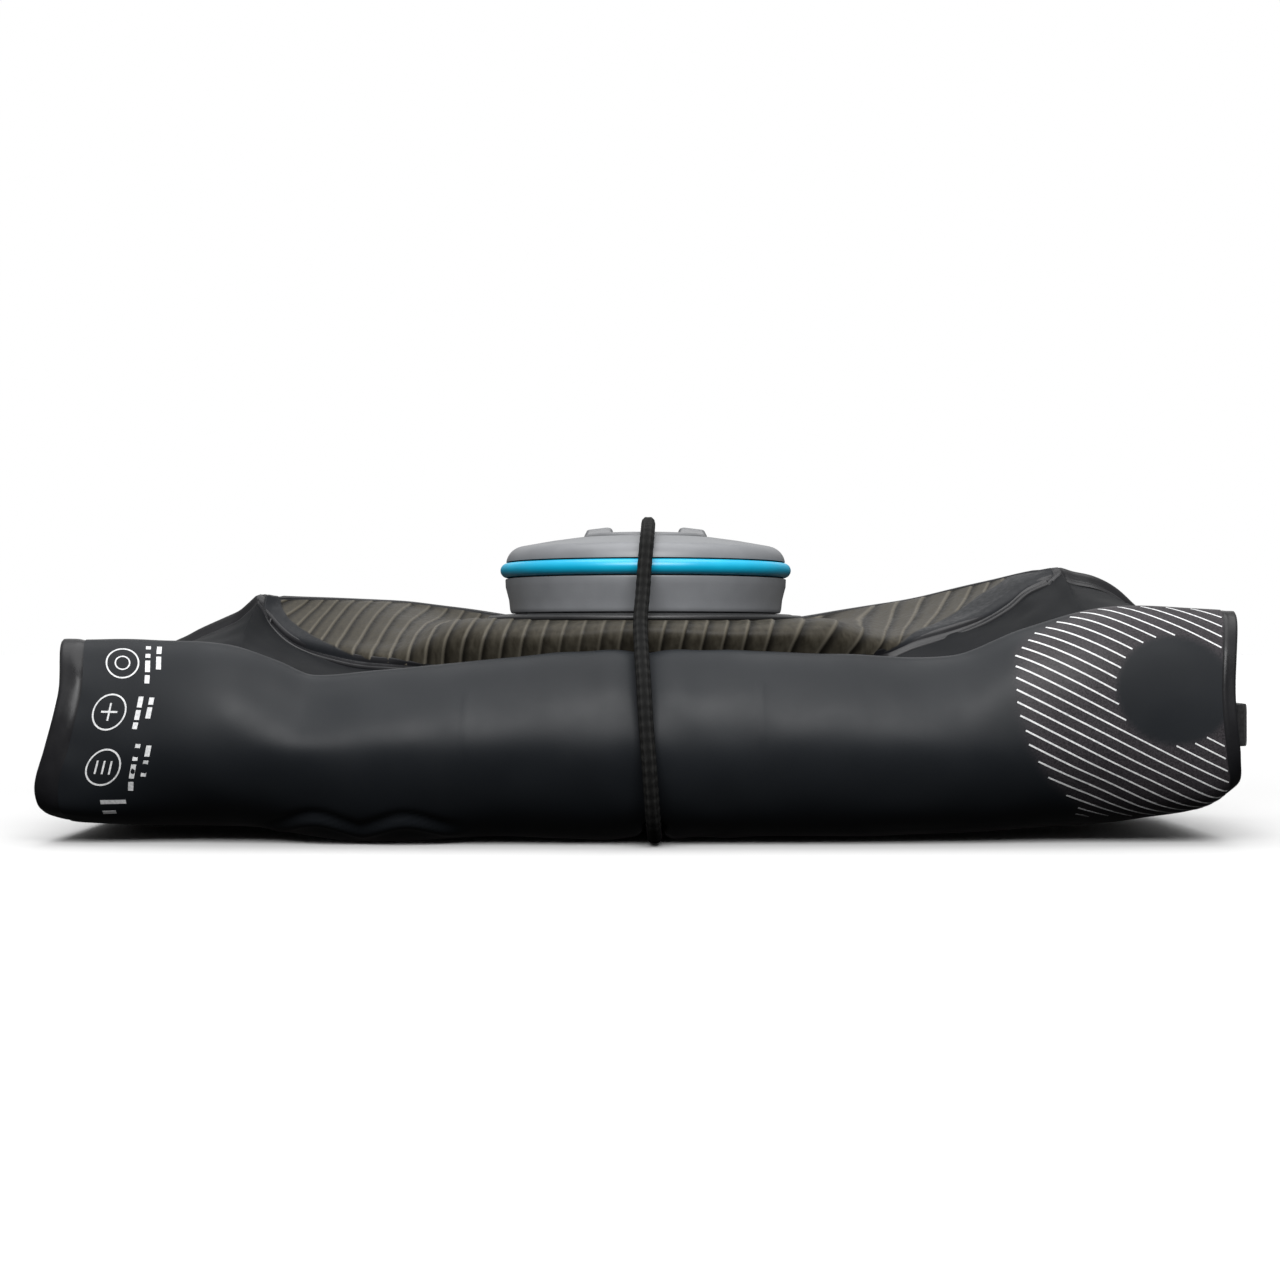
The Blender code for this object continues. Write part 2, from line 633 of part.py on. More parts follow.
def make_plug_oring(collection, look):
    profile = arc(0.0114, 0.0652, 0.00085, 180, -180, 8)[:-1]
    item = turned("plug_oring", profile, collection, look, closed=True, segments=24)
    smooth(item, 80.0)
    return item


# ---------------------------------------------------------------- elastic cord
def cord_route():
    """Places along the elastic loop's middle, from the ferrule up and round to it again."""
    return [(0.0030, 0.0538, 0.0245), (0.0030, 0.0538, 0.0300), (0.0029, 0.0530, 0.0370),
            (0.0027, 0.0510, 0.0450), (0.0025, 0.0478, 0.0525), (0.0024, 0.0420, 0.0592),
            (0.0023, 0.0388, 0.0645), (0.0022, 0.0356, 0.0697), (0.0021, 0.0270, 0.0731),
            (0.0020, 0.0150, 0.0748), (0.0020, 0.0000, 0.0749), (0.0020, -0.0150, 0.0748),
            (0.0019, -0.0270, 0.0731), (0.0016, -0.0356, 0.0697), (0.0011, -0.0388, 0.0640),
            (0.0006, -0.0418, 0.0570), (0.0001, -0.0462, 0.0508), (0.0003, -0.0520, 0.0448),
            (0.0008, -0.0577, 0.0370), (0.0014, -0.0607, 0.0270), (0.0022, -0.0608, 0.0165),
            (0.0029, -0.0566, 0.0066), (0.0033, -0.0490, 0.0023), (0.0034, -0.0380, 0.0019),
            (0.0034, 0.0100, 0.0019), (0.0034, 0.0395, 0.0019), (0.0033, 0.0470, 0.0041),
            (0.0031, 0.0525, 0.0103), (0.0030, 0.0538, 0.0180), (0.0030, 0.0538, 0.0235)]


def make_shock_cord(collection, look):
    dense = spline([(x, y, z) for x, y, z in cord_route()], 8)
    places = [(BAG_X + p.x, CAP_Y + p.y, max(p.z, CORD_R + 0.0002))
              for p in stretch(dense, 0.0, lengths(dense)[-1], 50)]
    return evaluated_copy(wire("cord_line", places, CORD_R, collection), "shock_cord", collection, look)


def make_cord_ferrule(collection, look):
    """Crimped tube that holds the loop's two ends."""
    inner, outer, low, high = CORD_R + GAP, 0.0027, 0.0180, 0.0300
    profile = [(inner, high), (outer - 0.0003, high), (outer, high - 0.0004),
               (outer, low + 0.0004), (outer - 0.0003, low), (inner, low)]
    item = turned("cord_ferrule", profile, collection, look, closed=True, segments=16)
    item.location = (BAG_X + 0.0030, CAP_Y + 0.0538, 0.0)
    smooth(item)
    return item


def extruded(name, outline, low, high, collection, look=None, at=(0.0, 0.0, 0.0)):
    """A flat outline of (x, y) raised from low to high."""
    mesh = bpy.data.meshes.new(name)
    build = bmesh.new()
    face = build.faces.new([build.verts.new((x, y, low)) for x, y in outline])
    raised = bmesh.ops.extrude_face_region(build, geom=[face])
    top = [v for v in raised["geom"] if isinstance(v, bmesh.types.BMVert)]
    bmesh.ops.translate(build, verts=top, vec=(0.0, 0.0, high - low))
    bmesh.ops.recalc_face_normals(build, faces=build.faces)
    build.to_mesh(mesh)
    build.free()
    return add_object(name, mesh, collection, look, at)


def make_cord_keeper(collection, look):
    """Webbing bridge at the back that keeps the elastic on the bag."""
    half, foot, tall = CORD_R + 0.0007, 0.0090, 0.0080
    bridge = [(half, 0.0012), (half, 0.0036), (0.4 * half, 0.0048)]
    inner = [(-half, 0.0)] + [(-x, y) for x, y in bridge[1:]] + bridge[:0:-1] + [(half, 0.0)]
    outer = [(half + WEBBING, WEBBING), (half + WEBBING, 0.0041), (0.7 * half, 0.0058)]
    outline = ([(-foot, 0.0)] + inner + [(foot, 0.0), (foot, WEBBING)] + outer
               + [(-x, y) for x, y in outer[::-1]] + [(-foot, WEBBING)])
    place = (BAG_X + 0.0029, CAP_Y + 0.0507, 0.0)
    return extruded("cord_keeper", outline, 0.0330, 0.0330 + tall, collection, look, place)


# ---------------------------------------------------------------- lash loop
def make_lash_patch(collection, look):
    patch = box("lash_patch", (0.0012, 0.0150, 0.0130),
                (BAG_X + PATCH_X, CAP_Y - 0.0050, LOOP_Z), collection, look)
    edge = patch.modifiers.new("edge", "BEVEL")
    edge.width = 0.0003
    edge.segments = 1
    return patch


def make_lash_loop(collection, cutters, look):
    """Webbing folded flat into a loop; its origin is on the line it swings about."""
    slit, length, half = 0.0008, 0.0240, LOOP_WIDTH / 2
    outer = slit + WEBBING
    turn = [math.radians(180 * k / 6) for k in range(7)]
    outline = ([(-outer, 0.0)] + [(-outer * math.cos(a), -length - outer * math.sin(a)) for a in turn]
               + [(outer, 0.0)])
    bore = ([(-slit, -0.006)] + [(-slit * math.cos(a), -length - slit * math.sin(a)) for a in turn]
            + [(slit, -0.006)])
    root = (BAG_X + PATCH_X + 0.0006 + GAP + outer, CAP_Y - 0.0040, LOOP_Z)
    loop = extruded("lash_loop", outline, -half, half, collection, look, root)
    slot = extruded("loop_slit", bore, -2 * half, 2 * half, cutters, None, root)
    boolean(loop, make_cutter(slot), "DIFFERENCE")
    return loop


def main():
    clear_scene()
    object_parts = new_collection("hydration_bladder")
    cutters = new_collection("cutters")
    film = material("front_film", (0.012, 0.014, 0.017), 0.48)
    back_film = material("back_film", (0.014, 0.015, 0.018), 0.50)
    ribbed = material("ribbed_film", (0.085, 0.075, 0.058), 0.42)
    weld = material("weld_band", (0.006, 0.006, 0.007), 0.30)
    soft_black = material("flange_black", (0.008, 0.008, 0.009), 0.45)
    spout = material("spout_grey", (0.20, 0.21, 0.22), 0.42)
    cap_grey = material("cap_grey", (0.16, 0.165, 0.17), 0.38)
    plug_grey = material("plug_grey", (0.10, 0.10, 0.105), 0.42)
    blue = material("band_blue", (0.010, 0.290, 0.520), 0.38)
    seal = material("seal_black", (0.010, 0.010, 0.011), 0.55)
    cord = material("cord_black", (0.016, 0.016, 0.017), 0.80)
    ferrule = material("ferrule_metal", (0.30, 0.30, 0.31), 0.35, 1.0)
    webbing = material("webbing_black", (0.012, 0.012, 0.013), 0.85)

    make_front_panel(object_parts, film)
    make_back_panel(object_parts, back_film)
    make_top_gusset(object_parts, cutters, ribbed)
    make_gusset_weld_rear(object_parts, weld)
    make_gusset_weld_front(object_parts, weld)
    make_side_weld("side_weld_left", -1, WELD_LEFT, object_parts, weld)
    make_side_weld("side_weld_right", 1, WELD_RIGHT, object_parts, weld)
    make_bottom_weld(object_parts, weld)
    make_neck_flange(object_parts, soft_black)
    make_neck_spout(object_parts, cutters, spout)
    make_cap_gasket(object_parts, seal)
    make_cap_shell(object_parts, cutters, cap_grey)
    make_grip_band(object_parts, blue)
    make_port_plug(object_parts, cutters, plug_grey)
    make_plug_oring(object_parts, seal)
    make_shock_cord(object_parts, cord)
    make_cord_ferrule(object_parts, ferrule)
    make_cord_keeper(object_parts, webbing)
    make_lash_patch(object_parts, soft_black)
    make_lash_loop(object_parts, cutters, webbing)


main()
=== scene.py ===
"""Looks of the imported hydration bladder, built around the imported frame.

Metres, +Z up, +X along the roll, the front of the roll faces -Y.  The bag's films
are drawn from the same section curves as the solids, as fine sheets with their
folds, pressed lines and ribs; prints are thin raised ink on top of the film.
"""
import math

import bmesh
import bpy
import numpy as np
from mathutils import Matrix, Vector


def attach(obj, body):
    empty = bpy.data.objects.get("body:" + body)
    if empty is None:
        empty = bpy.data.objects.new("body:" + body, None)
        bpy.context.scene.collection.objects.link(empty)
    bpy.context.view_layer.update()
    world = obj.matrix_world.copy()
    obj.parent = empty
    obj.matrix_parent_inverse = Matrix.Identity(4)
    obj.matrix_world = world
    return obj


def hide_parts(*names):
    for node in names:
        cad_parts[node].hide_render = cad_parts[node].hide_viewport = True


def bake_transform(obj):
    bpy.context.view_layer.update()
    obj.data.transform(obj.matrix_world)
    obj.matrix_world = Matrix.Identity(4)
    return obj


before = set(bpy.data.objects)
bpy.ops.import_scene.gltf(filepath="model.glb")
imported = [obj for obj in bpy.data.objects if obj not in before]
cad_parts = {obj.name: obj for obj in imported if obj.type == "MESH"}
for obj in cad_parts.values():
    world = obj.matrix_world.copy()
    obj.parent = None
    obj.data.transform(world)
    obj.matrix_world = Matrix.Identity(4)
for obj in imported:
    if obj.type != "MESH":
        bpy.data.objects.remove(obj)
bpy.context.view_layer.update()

# ---------------------------------------------------------------- sizes shared with the solids
GAP, FILM, PLY = 0.0003, 0.0009, 0.0026
CAP_X, CAP_Y = -0.0013, 0.0030
BAG_X, NECK_SHIFT = -0.0027, 0.0014
FLAT_LEVEL, FLANGE_R, FLANGE_TOP = 0.0506, 0.0395, 0.0528
SPOUT_BORE, SPOUT_WALL, SPOUT_FOOT_R = 0.0265, 0.0294, 0.0345
SPOUT_BOTTOM, SPOUT_RIM = 0.0483, 0.0657
LEAD, THREAD_TURNS, THREAD_WIRE = 0.004, 1.25, 0.0011
CAP_INNER_R, CAP_ROOF = 0.0319, 0.0676
SKIRT_BOTTOM, SKIRT_BOTTOM_R, SKIRT_TOP, SKIRT_TOP_R = 0.0531, 0.0335, 0.0616, 0.0350
BAND_BOTTOM, BAND_TOP, BAND_R, GROOVE_R = 0.0619, 0.0655, 0.0362, 0.0336
SOCKET_R, SOCKET_WALL_R, SOCKET_BOTTOM = 0.0126, 0.0144, 0.0603
PLUG_R, PLUG_TOP, PLUG_SEAT, PLUG_STEM_R = 0.0155, 0.0728, 0.0707, 0.0116
LUG_TOP, LUG_HALF_WIDTH, LUG_X = 0.0745, 0.0038, 0.0115
HALF_LENGTH = 0.1385
WELD_LEFT, WELD_RIGHT, SEAM_WELD, BOTTOM_WELD = 0.0060, 0.0036, 0.0046, 0.0090
GUSSET_HALF_WIDTH, TIP_LEFT, TIP_RIGHT = 0.0440, -0.0988, 0.1055
FOLD_Y = -0.030
CORD_R, CORD_FOOT_X, CORD_GROOVE = 0.0017, 0.0034, 0.0049
LOOP_Z, LOOP_WIDTH, WEBBING, PATCH_X = 0.0265, 0.0100, 0.0011, 0.1385

# How far the slanted ends reach, by height, then heights and depths along the roll.
LEFT_REACH = [(0.0060, 0.1372), (0.0135, 0.1370), (0.0218, 0.1345), (0.0305, 0.1325),
              (0.0368, 0.1319), (0.0466, 0.1337)]
RIGHT_REACH = [(0.0060, 0.1366), (0.0138, 0.1366), (0.0197, 0.1354), (0.0330, 0.1343),
               (0.0430, 0.1352), (0.0530, 0.1374)]
CREST = [(-0.137, 0.0469), (-0.116, 0.0465), (-0.098, 0.0456), (-0.087, 0.0418),
         (-0.078, 0.0382), (-0.061, 0.0399), (-0.026, 0.0426), (0.000, 0.0440),
         (0.045, 0.0435), (0.073, 0.0430), (0.089, 0.0492), (0.103, 0.0532),
         (0.113, 0.0543), (0.136, 0.0533)]
FOOT = [(-0.139, 0.0080), (-0.137, 0.0068), (-0.130, 0.0054), (-0.113, 0.0048),
        (-0.091, 0.0043), (-0.074, 0.0020), (-0.061, 0.0012), (-0.036, 0.0021),
        (0.000, 0.0026), (0.044, 0.0024), (0.088, 0.0040), (0.111, 0.0055),
        (0.121, 0.0071), (0.130, 0.0086), (0.134, 0.0103), (0.139, 0.0138)]
FRONT = [(-0.139, -0.049), (-0.100, -0.055), (-0.050, -0.058), (0.050, -0.058),
         (0.100, -0.055), (0.139, -0.050)]
BACK = [(-0.139, 0.036), (-0.090, 0.046), (0.000, 0.050), (0.090, 0.046), (0.139, 0.036)]
SEAM = [(-0.1390, 0.0438), (-0.1260, 0.0443), (-0.1184, 0.0468), (-0.1141, 0.0489),
        (-0.1075, 0.0518), (-0.1035, 0.0537), (-0.1010, 0.0558), (-0.0988, 0.0576),
        (-0.0942, 0.0573), (-0.0833, 0.0570), (-0.0703, 0.0566), (-0.0600, 0.0559),
        (-0.0387, 0.0532), (-0.0200, 0.0497), (0.0200, 0.0497), (0.0410, 0.0520),
        (0.0596, 0.0550), (0.0699, 0.0566), (0.0805, 0.0590), (0.0902, 0.0613),
        (0.0969, 0.0630), (0.1014, 0.0639), (0.1055, 0.0646), (0.1091, 0.0636),
        (0.1137, 0.0626), (0.1175, 0.0610), (0.1208, 0.0588), (0.1254, 0.0545),
        (0.1310, 0.0505), (0.1390, 0.0485)]
FRONT_SEAM = [(-0.0988, 0.0565), (-0.0949, 0.0505), (-0.0879, 0.0450), (-0.0773, 0.0420),
              (-0.0667, 0.0403), (-0.0500, 0.0400), (-0.0300, 0.0406), (0.0000, 0.0414),
              (0.0400, 0.0412), (0.0590, 0.0432), (0.0674, 0.0456), (0.0828, 0.0502),
              (0.0907, 0.0546), (0.0960, 0.0585), (0.1026, 0.0612), (0.1055, 0.0638)]
# Along the roll: height of the gusset's smooth edge above its front seam, and the ribs' lean.
BORDER = [(-0.0988, 0.0090), (-0.0946, 0.0077), (-0.0920, 0.0055), (-0.0867, 0.0045), (-0.0804, 0.0032),
          (-0.0713, 0.0016), (-0.0600, 0.0006), (-0.0500, 0.0002), (0.0500, 0.0002), (0.0600, 0.0010),
          (0.0748, 0.0036), (0.0811, 0.0050), (0.0860, 0.0056), (0.0920, 0.0048), (0.1055, 0.0045)]
LEAN = [(-0.0988, 1.50), (-0.0900, 0.75), (-0.0760, 0.15), (-0.0550, 0.10), (-0.0400, 0.16), (0.0300, 0.16),
        (0.0500, 0.60), (0.0620, 1.00), (0.0850, 1.50), (0.1055, 2.20)]
PER_SPAN = 14                # dense points between two drawn section points

# ---------------------------------------------------------------- sizes of the fine surface
SHEET = 0.0006               # thickness of a fine film
STATIONS = 300               # sections along the roll
TURNED_STEPS = 192
RIB_PITCH, RIB_PITCH_RIGHT, RIB_STEP = 0.0048, 0.0056, 0.00034
INK = 0.00005                # thickness of printed ink
CORD_TURN = 0.0024           # one turn of the elastic's braid
TUCK_FROM = 0.0006           # where the tucked film starts, under the front band

CAMERA_BACK, CAMERA_HEIGHT, LENS = 0.500, 0.0465, 56.25


# ---------------------------------------------------------------- curves
def along(points, x):
    """Smooth curve through (x, value) points, read at x."""
    last = len(points) - 1
    if x <= points[0][0]:
        return points[0][1]
    if x >= points[last][0]:
        return points[last][1]
    i = next(k for k in range(last) if x < points[k + 1][0])

    def slope(k):
        before, after = points[max(k - 1, 0)], points[min(k + 1, last)]
        return (after[1] - before[1]) / (after[0] - before[0])

    (x0, v0), (x1, v1) = points[i], points[i + 1]
    step = x1 - x0
    t = (x - x0) / step
    return ((2 * t ** 3 - 3 * t ** 2 + 1) * v0 + (3 * t ** 2 - 2 * t ** 3) * v1
            + (t ** 3 - 2 * t ** 2 + t) * slope(i) * step
            + (t ** 3 - t ** 2) * slope(i + 1) * step)


def blend(low, high, x):
    """0 below low, 1 above high, smooth between them."""
    t = np.clip((x - low) / (high - low), 0.0, 1.0)
    return t * t * (3.0 - 2.0 * t)


def mix(a, b, t):
    return a + (b - a) * t


def bump_at(x, centre, width):
    """A round bump, 1 at centre and about 0 beyond two widths."""
    return np.exp(-((x - centre) / width) ** 2)


def ripple(a, b, size, seed, count=7):
    """Smooth unevenness between about -1 and 1, its waves about size across."""
    dice = np.random.default_rng(seed)
    total = 0.0
    for turn, scale, phase in dice.uniform(0.0, 1.0, (count, 3)):
        step = (a * math.cos(math.tau * turn) + b * math.sin(math.tau * turn)) / (size * mix(0.7, 1.6, scale))
        total = total + np.sin(math.tau * (step + phase))
    return total / (1.4 * count ** 0.5)


def spline(points, per_span=PER_SPAN):
    """Dense points of a centripetal Catmull-Rom curve through points."""
    p = np.array([tuple(q) for q in points], float)
    p = np.vstack([2 * p[0] - p[1], p, 2 * p[-1] - p[-2]])
    a, b, c, d = (p[k:len(p) - 3 + k, None, :] for k in range(4))
    t1 = np.linalg.norm(b - a, axis=2, keepdims=True) ** 0.5
    t2 = t1 + np.linalg.norm(c - b, axis=2, keepdims=True) ** 0.5
    t3 = t2 + np.linalg.norm(d - c, axis=2, keepdims=True) ** 0.5
    t = t1 + (t2 - t1) * (np.arange(per_span) / per_span)[None, :, None]
    ab, bc, cd = mix(a, b, t / t1), mix(b, c, (t - t1) / (t2 - t1)), mix(c, d, (t - t2) / (t3 - t2))
    low, high = mix(ab, bc, t / t2), mix(bc, cd, (t - t1) / (t3 - t1))
    dense = mix(low, high, (t - t1) / (t2 - t1))
    return np.vstack([dense.reshape(-1, p.shape[1]), p[-2]])


def lengths(curve):
    return np.concatenate([[0.0], np.cumsum(np.linalg.norm(np.diff(curve, axis=0), axis=1))])


def read(curve, distances):
    """Points of a dense curve at distances along it."""
    run = lengths(curve)
    return np.column_stack([np.interp(distances, run, curve[:, k]) for k in range(curve.shape[1])])


def moved_in(curve, distance):
    """A dense section curve moved to its inner side by an even distance."""
    along_it = np.gradient(curve, axis=0)
    side = np.column_stack([along_it[:, 1], -along_it[:, 0]])
    return curve + side / np.linalg.norm(side, axis=1, keepdims=True) * distance


# ---------------------------------------------------------------- the bag's sections
def gusset_half_width(x):
    middle, half = (TIP_LEFT + TIP_RIGHT) / 2, (TIP_RIGHT - TIP_LEFT) / 2
    return GUSSET_HALF_WIDTH * max(1.0 - ((x - middle) / half) ** 2, 0.0)


def lift(x):
    return FILM / 2 + max(1.10 * along(FOOT, x) - 0.0050, 0.0)


def rear_seam(x):
    return (gusset_half_width(x), along(SEAM, x))


def over_neck(x):
    """1 in front of the neck's flange, 0 out on the wings."""
    return 1.0 - blend(0.041, 0.066, abs(x - NECK_SHIFT))


def front_seam(x):
    if TIP_LEFT < x < TIP_RIGHT:
        share = over_neck(x)
        height = mix(along(FRONT_SEAM, x), along(CREST, x) - 0.0008, share)
        return (-mix(0.82, 0.945, share) * gusset_half_width(x), height)
    return (0.0, along(SEAM, x) - PLY)


def gusset_section(x):
    """Film of the top gusset from its front seam to its rear seam."""
    width, (_, seam), (edge, low) = gusset_half_width(x), rear_seam(x), front_seam(x)
    outer = blend(0.041, 0.080, abs(x - NECK_SHIFT))
    middle = mix(FLAT_LEVEL, mix(low, seam, 0.60), outer)
    overhang = over_neck(x)
    return [(edge, low),
            (-width * mix(0.78, 0.985, overhang), mix(low, middle, mix(0.25, 0.66, overhang))),
            (-width * mix(0.45, 0.87, overhang), mix(low, middle, mix(0.60, 0.995, overhang))),
            (0.0, middle),
            (width * mix(0.5, 0.86, overhang), mix(middle, seam, mix(0.5, 0.08, overhang))),
            (width, seam)]


def roll_section(x):
    """Outer ply: down the back, under, up the front, over the crest and round again."""
    front, back = along(FRONT, x), along(BACK, x)
    crest, foot, under = along(CREST, x), along(FOOT, x), lift(x)
    seam_y, seam_z = rear_seam(x)
    inner = min(0.036, 0.82 * crest)
    tray, shelf = mix(under, inner, 0.30), mix(under, inner, 0.78)
    square = blend(0.100, 0.134, abs(x))
    return [(seam_y, seam_z),
            (mix(seam_y, back, 0.75), mix(seam_z, 0.038, 0.48)),
            (back, 0.026), (back - 0.0035, under + 0.0085), (back - 0.016, under),
            (0.010, under), (-0.018, max(under, 1.055 * foot - 0.0023)),
            (front + mix(0.0160, 0.0080, square), foot + 0.0002),
            (front + mix(0.0055, 0.0024, square), foot + mix(0.0065, 0.0034, square)), (front, 0.0215),
            (front + 0.0036, crest - 0.0090), (front + 0.0120, crest - FILM / 2),
            (front + 0.0225, crest - 0.0052), (front + 0.0360, mix(crest, inner, 0.75)),
            (0.0, inner), (back - 0.017, inner - 0.003), (back - 0.0095, 0.55 * inner + 0.003),
            (back - 0.018, tray + 0.0008), (0.0, tray), (front + 0.020, tray + 0.0008),
            (front + 0.0095, mix(tray, shelf, 0.5)), (front + 0.0170, shelf),
            (front + 0.0310, shelf), (-0.004, mix(tray, shelf, 0.62)),
            (0.012, mix(tray, shelf, 0.54))]


BACK_POINT, CREST_POINT = 2, 11        # places in roll_section


def roll_top(x, y):
    """Height of the outer ply behind the crest, over which the inner ply is tucked."""
    front, crest = along(FRONT, x), along(CREST, x)
    inner = min(0.036, 0.82 * crest)
    return along([(front + 0.0120, crest), (front + 0.0225, crest - 0.0052),
                  (front + 0.0360, mix(crest, inner, 0.75)), (0.004, inner)], y)


def tuck_curve(x):
    """The inner ply: from the front seam forward to a fold behind the crest, then round the roll."""
    roll = moved_in(spline(roll_section(x)), PLY)[BACK_POINT * PER_SPAN:]
    back, seam, (edge, low) = along(BACK, x), along(SEAM, x), front_seam(x)
    forward, ends = blend(-0.033, -0.021, edge), blend(0.114, 0.130, abs(x))
    fold = roll_top(x, FOLD_Y) + 0.0036

    def step(near, folded, closed):
        at = [mix(a, b, forward) for a, b in zip(near, folded)]
        return tuple(mix(a, b, ends) for a, b in zip(at, closed))

    start = [(edge, low),
             step((edge + 0.0014, low - 0.0005), (mix(edge, FOLD_Y, 0.5), mix(low, fold, 0.45)),
                  (0.0015, low - 0.0003)),
             step((edge + 0.0045, max(low - 0.0010, roll_top(x, edge + 0.0045) + 0.0019)),
                  (FOLD_Y, fold), (0.0040, low - 0.0006)),
             step((edge + 0.0100, roll_top(x, edge + 0.0100) + 0.0022),
                  (FOLD_Y + 0.0055, roll_top(x, FOLD_Y + 0.0055) + 0.0026), (0.0075, low - 0.0009)),
             (0.34 * back, mix(0.0402, mix(seam, 0.038, 0.22) - PLY - 0.0015, ends)),
             (0.72 * back, mix(0.0382, mix(seam, 0.038, 0.46) - PLY - 0.0012, ends))]
    joined = [tuple(p) for p in read(roll, np.array([0.0, 0.006, 0.012]))]
    return np.vstack([spline(start + joined), roll[lengths(roll) > 0.0125]])


HEIGHTS = np.linspace(0.0, 0.070, 141)
ENDS = {side: np.array([along(reach, z) for z in HEIGHTS])
        for side, reach in ((-1, LEFT_REACH), (1, RIGHT_REACH))}


def lay(x, points):
    """Section points as places in the object, sheared to the slanted ends."""
    reach = np.interp(points[:, 1], HEIGHTS, ENDS[-1 if x < 0 else 1])
    return np.column_stack([BAG_X + x / HALF_LENGTH * reach, CAP_Y + points[:, 0], points[:, 1]])


def kept_up(x, points, extra=0.0):
    """Holds the underside level, and above the cord that runs under it."""
    floor = lift(x) + extra
    z = np.maximum(points[:, 1], floor)
    groove = CORD_GROOVE * (1.0 - blend(0.0016, 0.0040, abs(x - CORD_FOOT_X)))
    return np.column_stack([points[:, 0], z + groove * (1.0 - blend(0.0, 0.0065, z - floor))])


# ---------------------------------------------------------------- meshes from grids
class Sheet:
    """A grid of places: row i is the section at x[i], and across[i, j] its distance from a datum line."""

    def __init__(self, x, across, place, outward):
        self.x, self.across, self.place = x, across, place
        self.turn = 1.0
        self.turn = math.copysign(1.0, float((self.normal() * outward).sum(axis=2).mean()))

    def normal(self):
        cross = np.cross(np.gradient(self.place, axis=0), np.gradient(self.place, axis=1))
        return self.turn * cross / np.maximum(np.linalg.norm(cross, axis=2, keepdims=True), 1e-12)

    def raised(self, height):
        """The same sheet moved out along its normals by height, a number or one for each point."""
        height = np.broadcast_to(height, self.place.shape[:2])[:, :, None]
        made = Sheet.__new__(Sheet)
        made.x, made.across, made.turn = self.x, self.across, self.turn
        made.place = self.place + self.normal() * height
        return made

    def at(self, x, across, height):
        """A place on the sheet, height above it, at section x and distance across."""
        i = int(np.clip(np.searchsorted(self.x, x) - 1, 0, len(self.x) - 2))
        found = []
        for k in (i, i + 1):
            order = slice(None) if self.across[k, -1] > self.across[k, 0] else slice(None, None, -1)
            found.append([np.interp(across, self.across[k, order], part[k, order, c])
                          for part in (self.place, self.out) for c in range(3)])
        mixed = mix(np.array(found[0]), np.array(found[1]), (x - self.x[i]) / (self.x[i + 1] - self.x[i]))
        return mixed[:3] + mixed[3:] * height

    def ready(self):
        """Keeps the normals, so that at() can be called often."""
        self.out = self.normal()
        return self


def off_floor(sheet, height=0.0002):
    """The sheet with no place lower than height."""
    sheet.place[:, :, 2] = np.maximum(sheet.place[:, :, 2], height)
    return sheet


def grid_quads(index):
    """Four-sided faces of a grid of point numbers."""
    return np.stack([index[:-1, :-1], index[:-1, 1:], index[1:, 1:], index[1:, :-1]], -1).reshape(-1, 4)


def mesh_object(name, verts, faces, look, angle=60.0, attributes=()):
    mesh = bpy.data.meshes.new(name)
    mesh.from_pydata(np.asarray(verts).tolist(), [], faces)
    for label, values in attributes:
        mesh.attributes.new(label, "FLOAT", "POINT").data.foreach_set("value", np.asarray(values, np.float32))
    build = bmesh.new()
    build.from_mesh(mesh)
    bmesh.ops.remove_doubles(build, verts=build.verts, dist=1e-7)
    bmesh.ops.recalc_face_normals(build, faces=build.faces)
    build.to_mesh(mesh)
    build.free()
    mesh.materials.append(look)
    mesh.shade_smooth()
    mesh.set_sharp_from_angle(angle=math.radians(angle))
    item = bpy.data.objects.new(name, mesh)
    bpy.context.scene.collection.objects.link(item)
    return item


def slab(name, outer, inner, look, attributes=(), angle=60.0):
    """A closed body between two grids of places with the same number of points."""
    n, m = outer.shape[:2]
    verts = np.concatenate([outer.reshape(-1, 3), inner.reshape(-1, 3)])
    index = np.arange(n * m).reshape(n, m)
    quads = grid_quads(index)
    faces = [quads, quads[:, ::-1] + n * m]
    rim = np.concatenate([index[0, :], index[1:, -1], index[-1, -2::-1], index[-2:0:-1, 0]])
    after = np.roll(rim, -1)
    faces.append(np.stack([rim, after, after + n * m, rim + n * m], -1))
    both = [(label, np.concatenate([values.ravel()] * 2)) for label, values in attributes]
    return mesh_object(name, verts, np.concatenate(faces).tolist(), look, angle, both)


def turned(name, profile, look, steps=TURNED_STEPS, ridge=None, at=(CAP_X, CAP_Y), fillet=0.0003,
           closed=True):
    """A profile of (radius, z) turned about an upright axis, its corners rounded."""
    r, z = np.array(rounded(profile, fillet, closed)).T
    angle = np.arange(steps) * math.tau / steps
    radius = np.broadcast_to(r, (steps, len(r)))
    if ridge is not None:
        radius = radius + ridge(angle[:, None], r[None, :], z[None, :])
    verts = np.stack([at[0] + radius * np.cos(angle)[:, None], at[1] + radius * np.sin(angle)[:, None],
                      np.broadcast_to(z, radius.shape)], -1).reshape(-1, 3)
    index = np.arange(steps * len(r)).reshape(steps, len(r))
    index = np.vstack([index, index[:1]])
    if closed:
        index = np.hstack([index, index[:, :1]])
    faces = np.stack([index[:-1, :-1], index[1:, :-1], index[1:, 1:], index[:-1, 1:]], -1).reshape(-1, 4)
    return mesh_object(name, verts, faces.tolist(), look, 40.0)


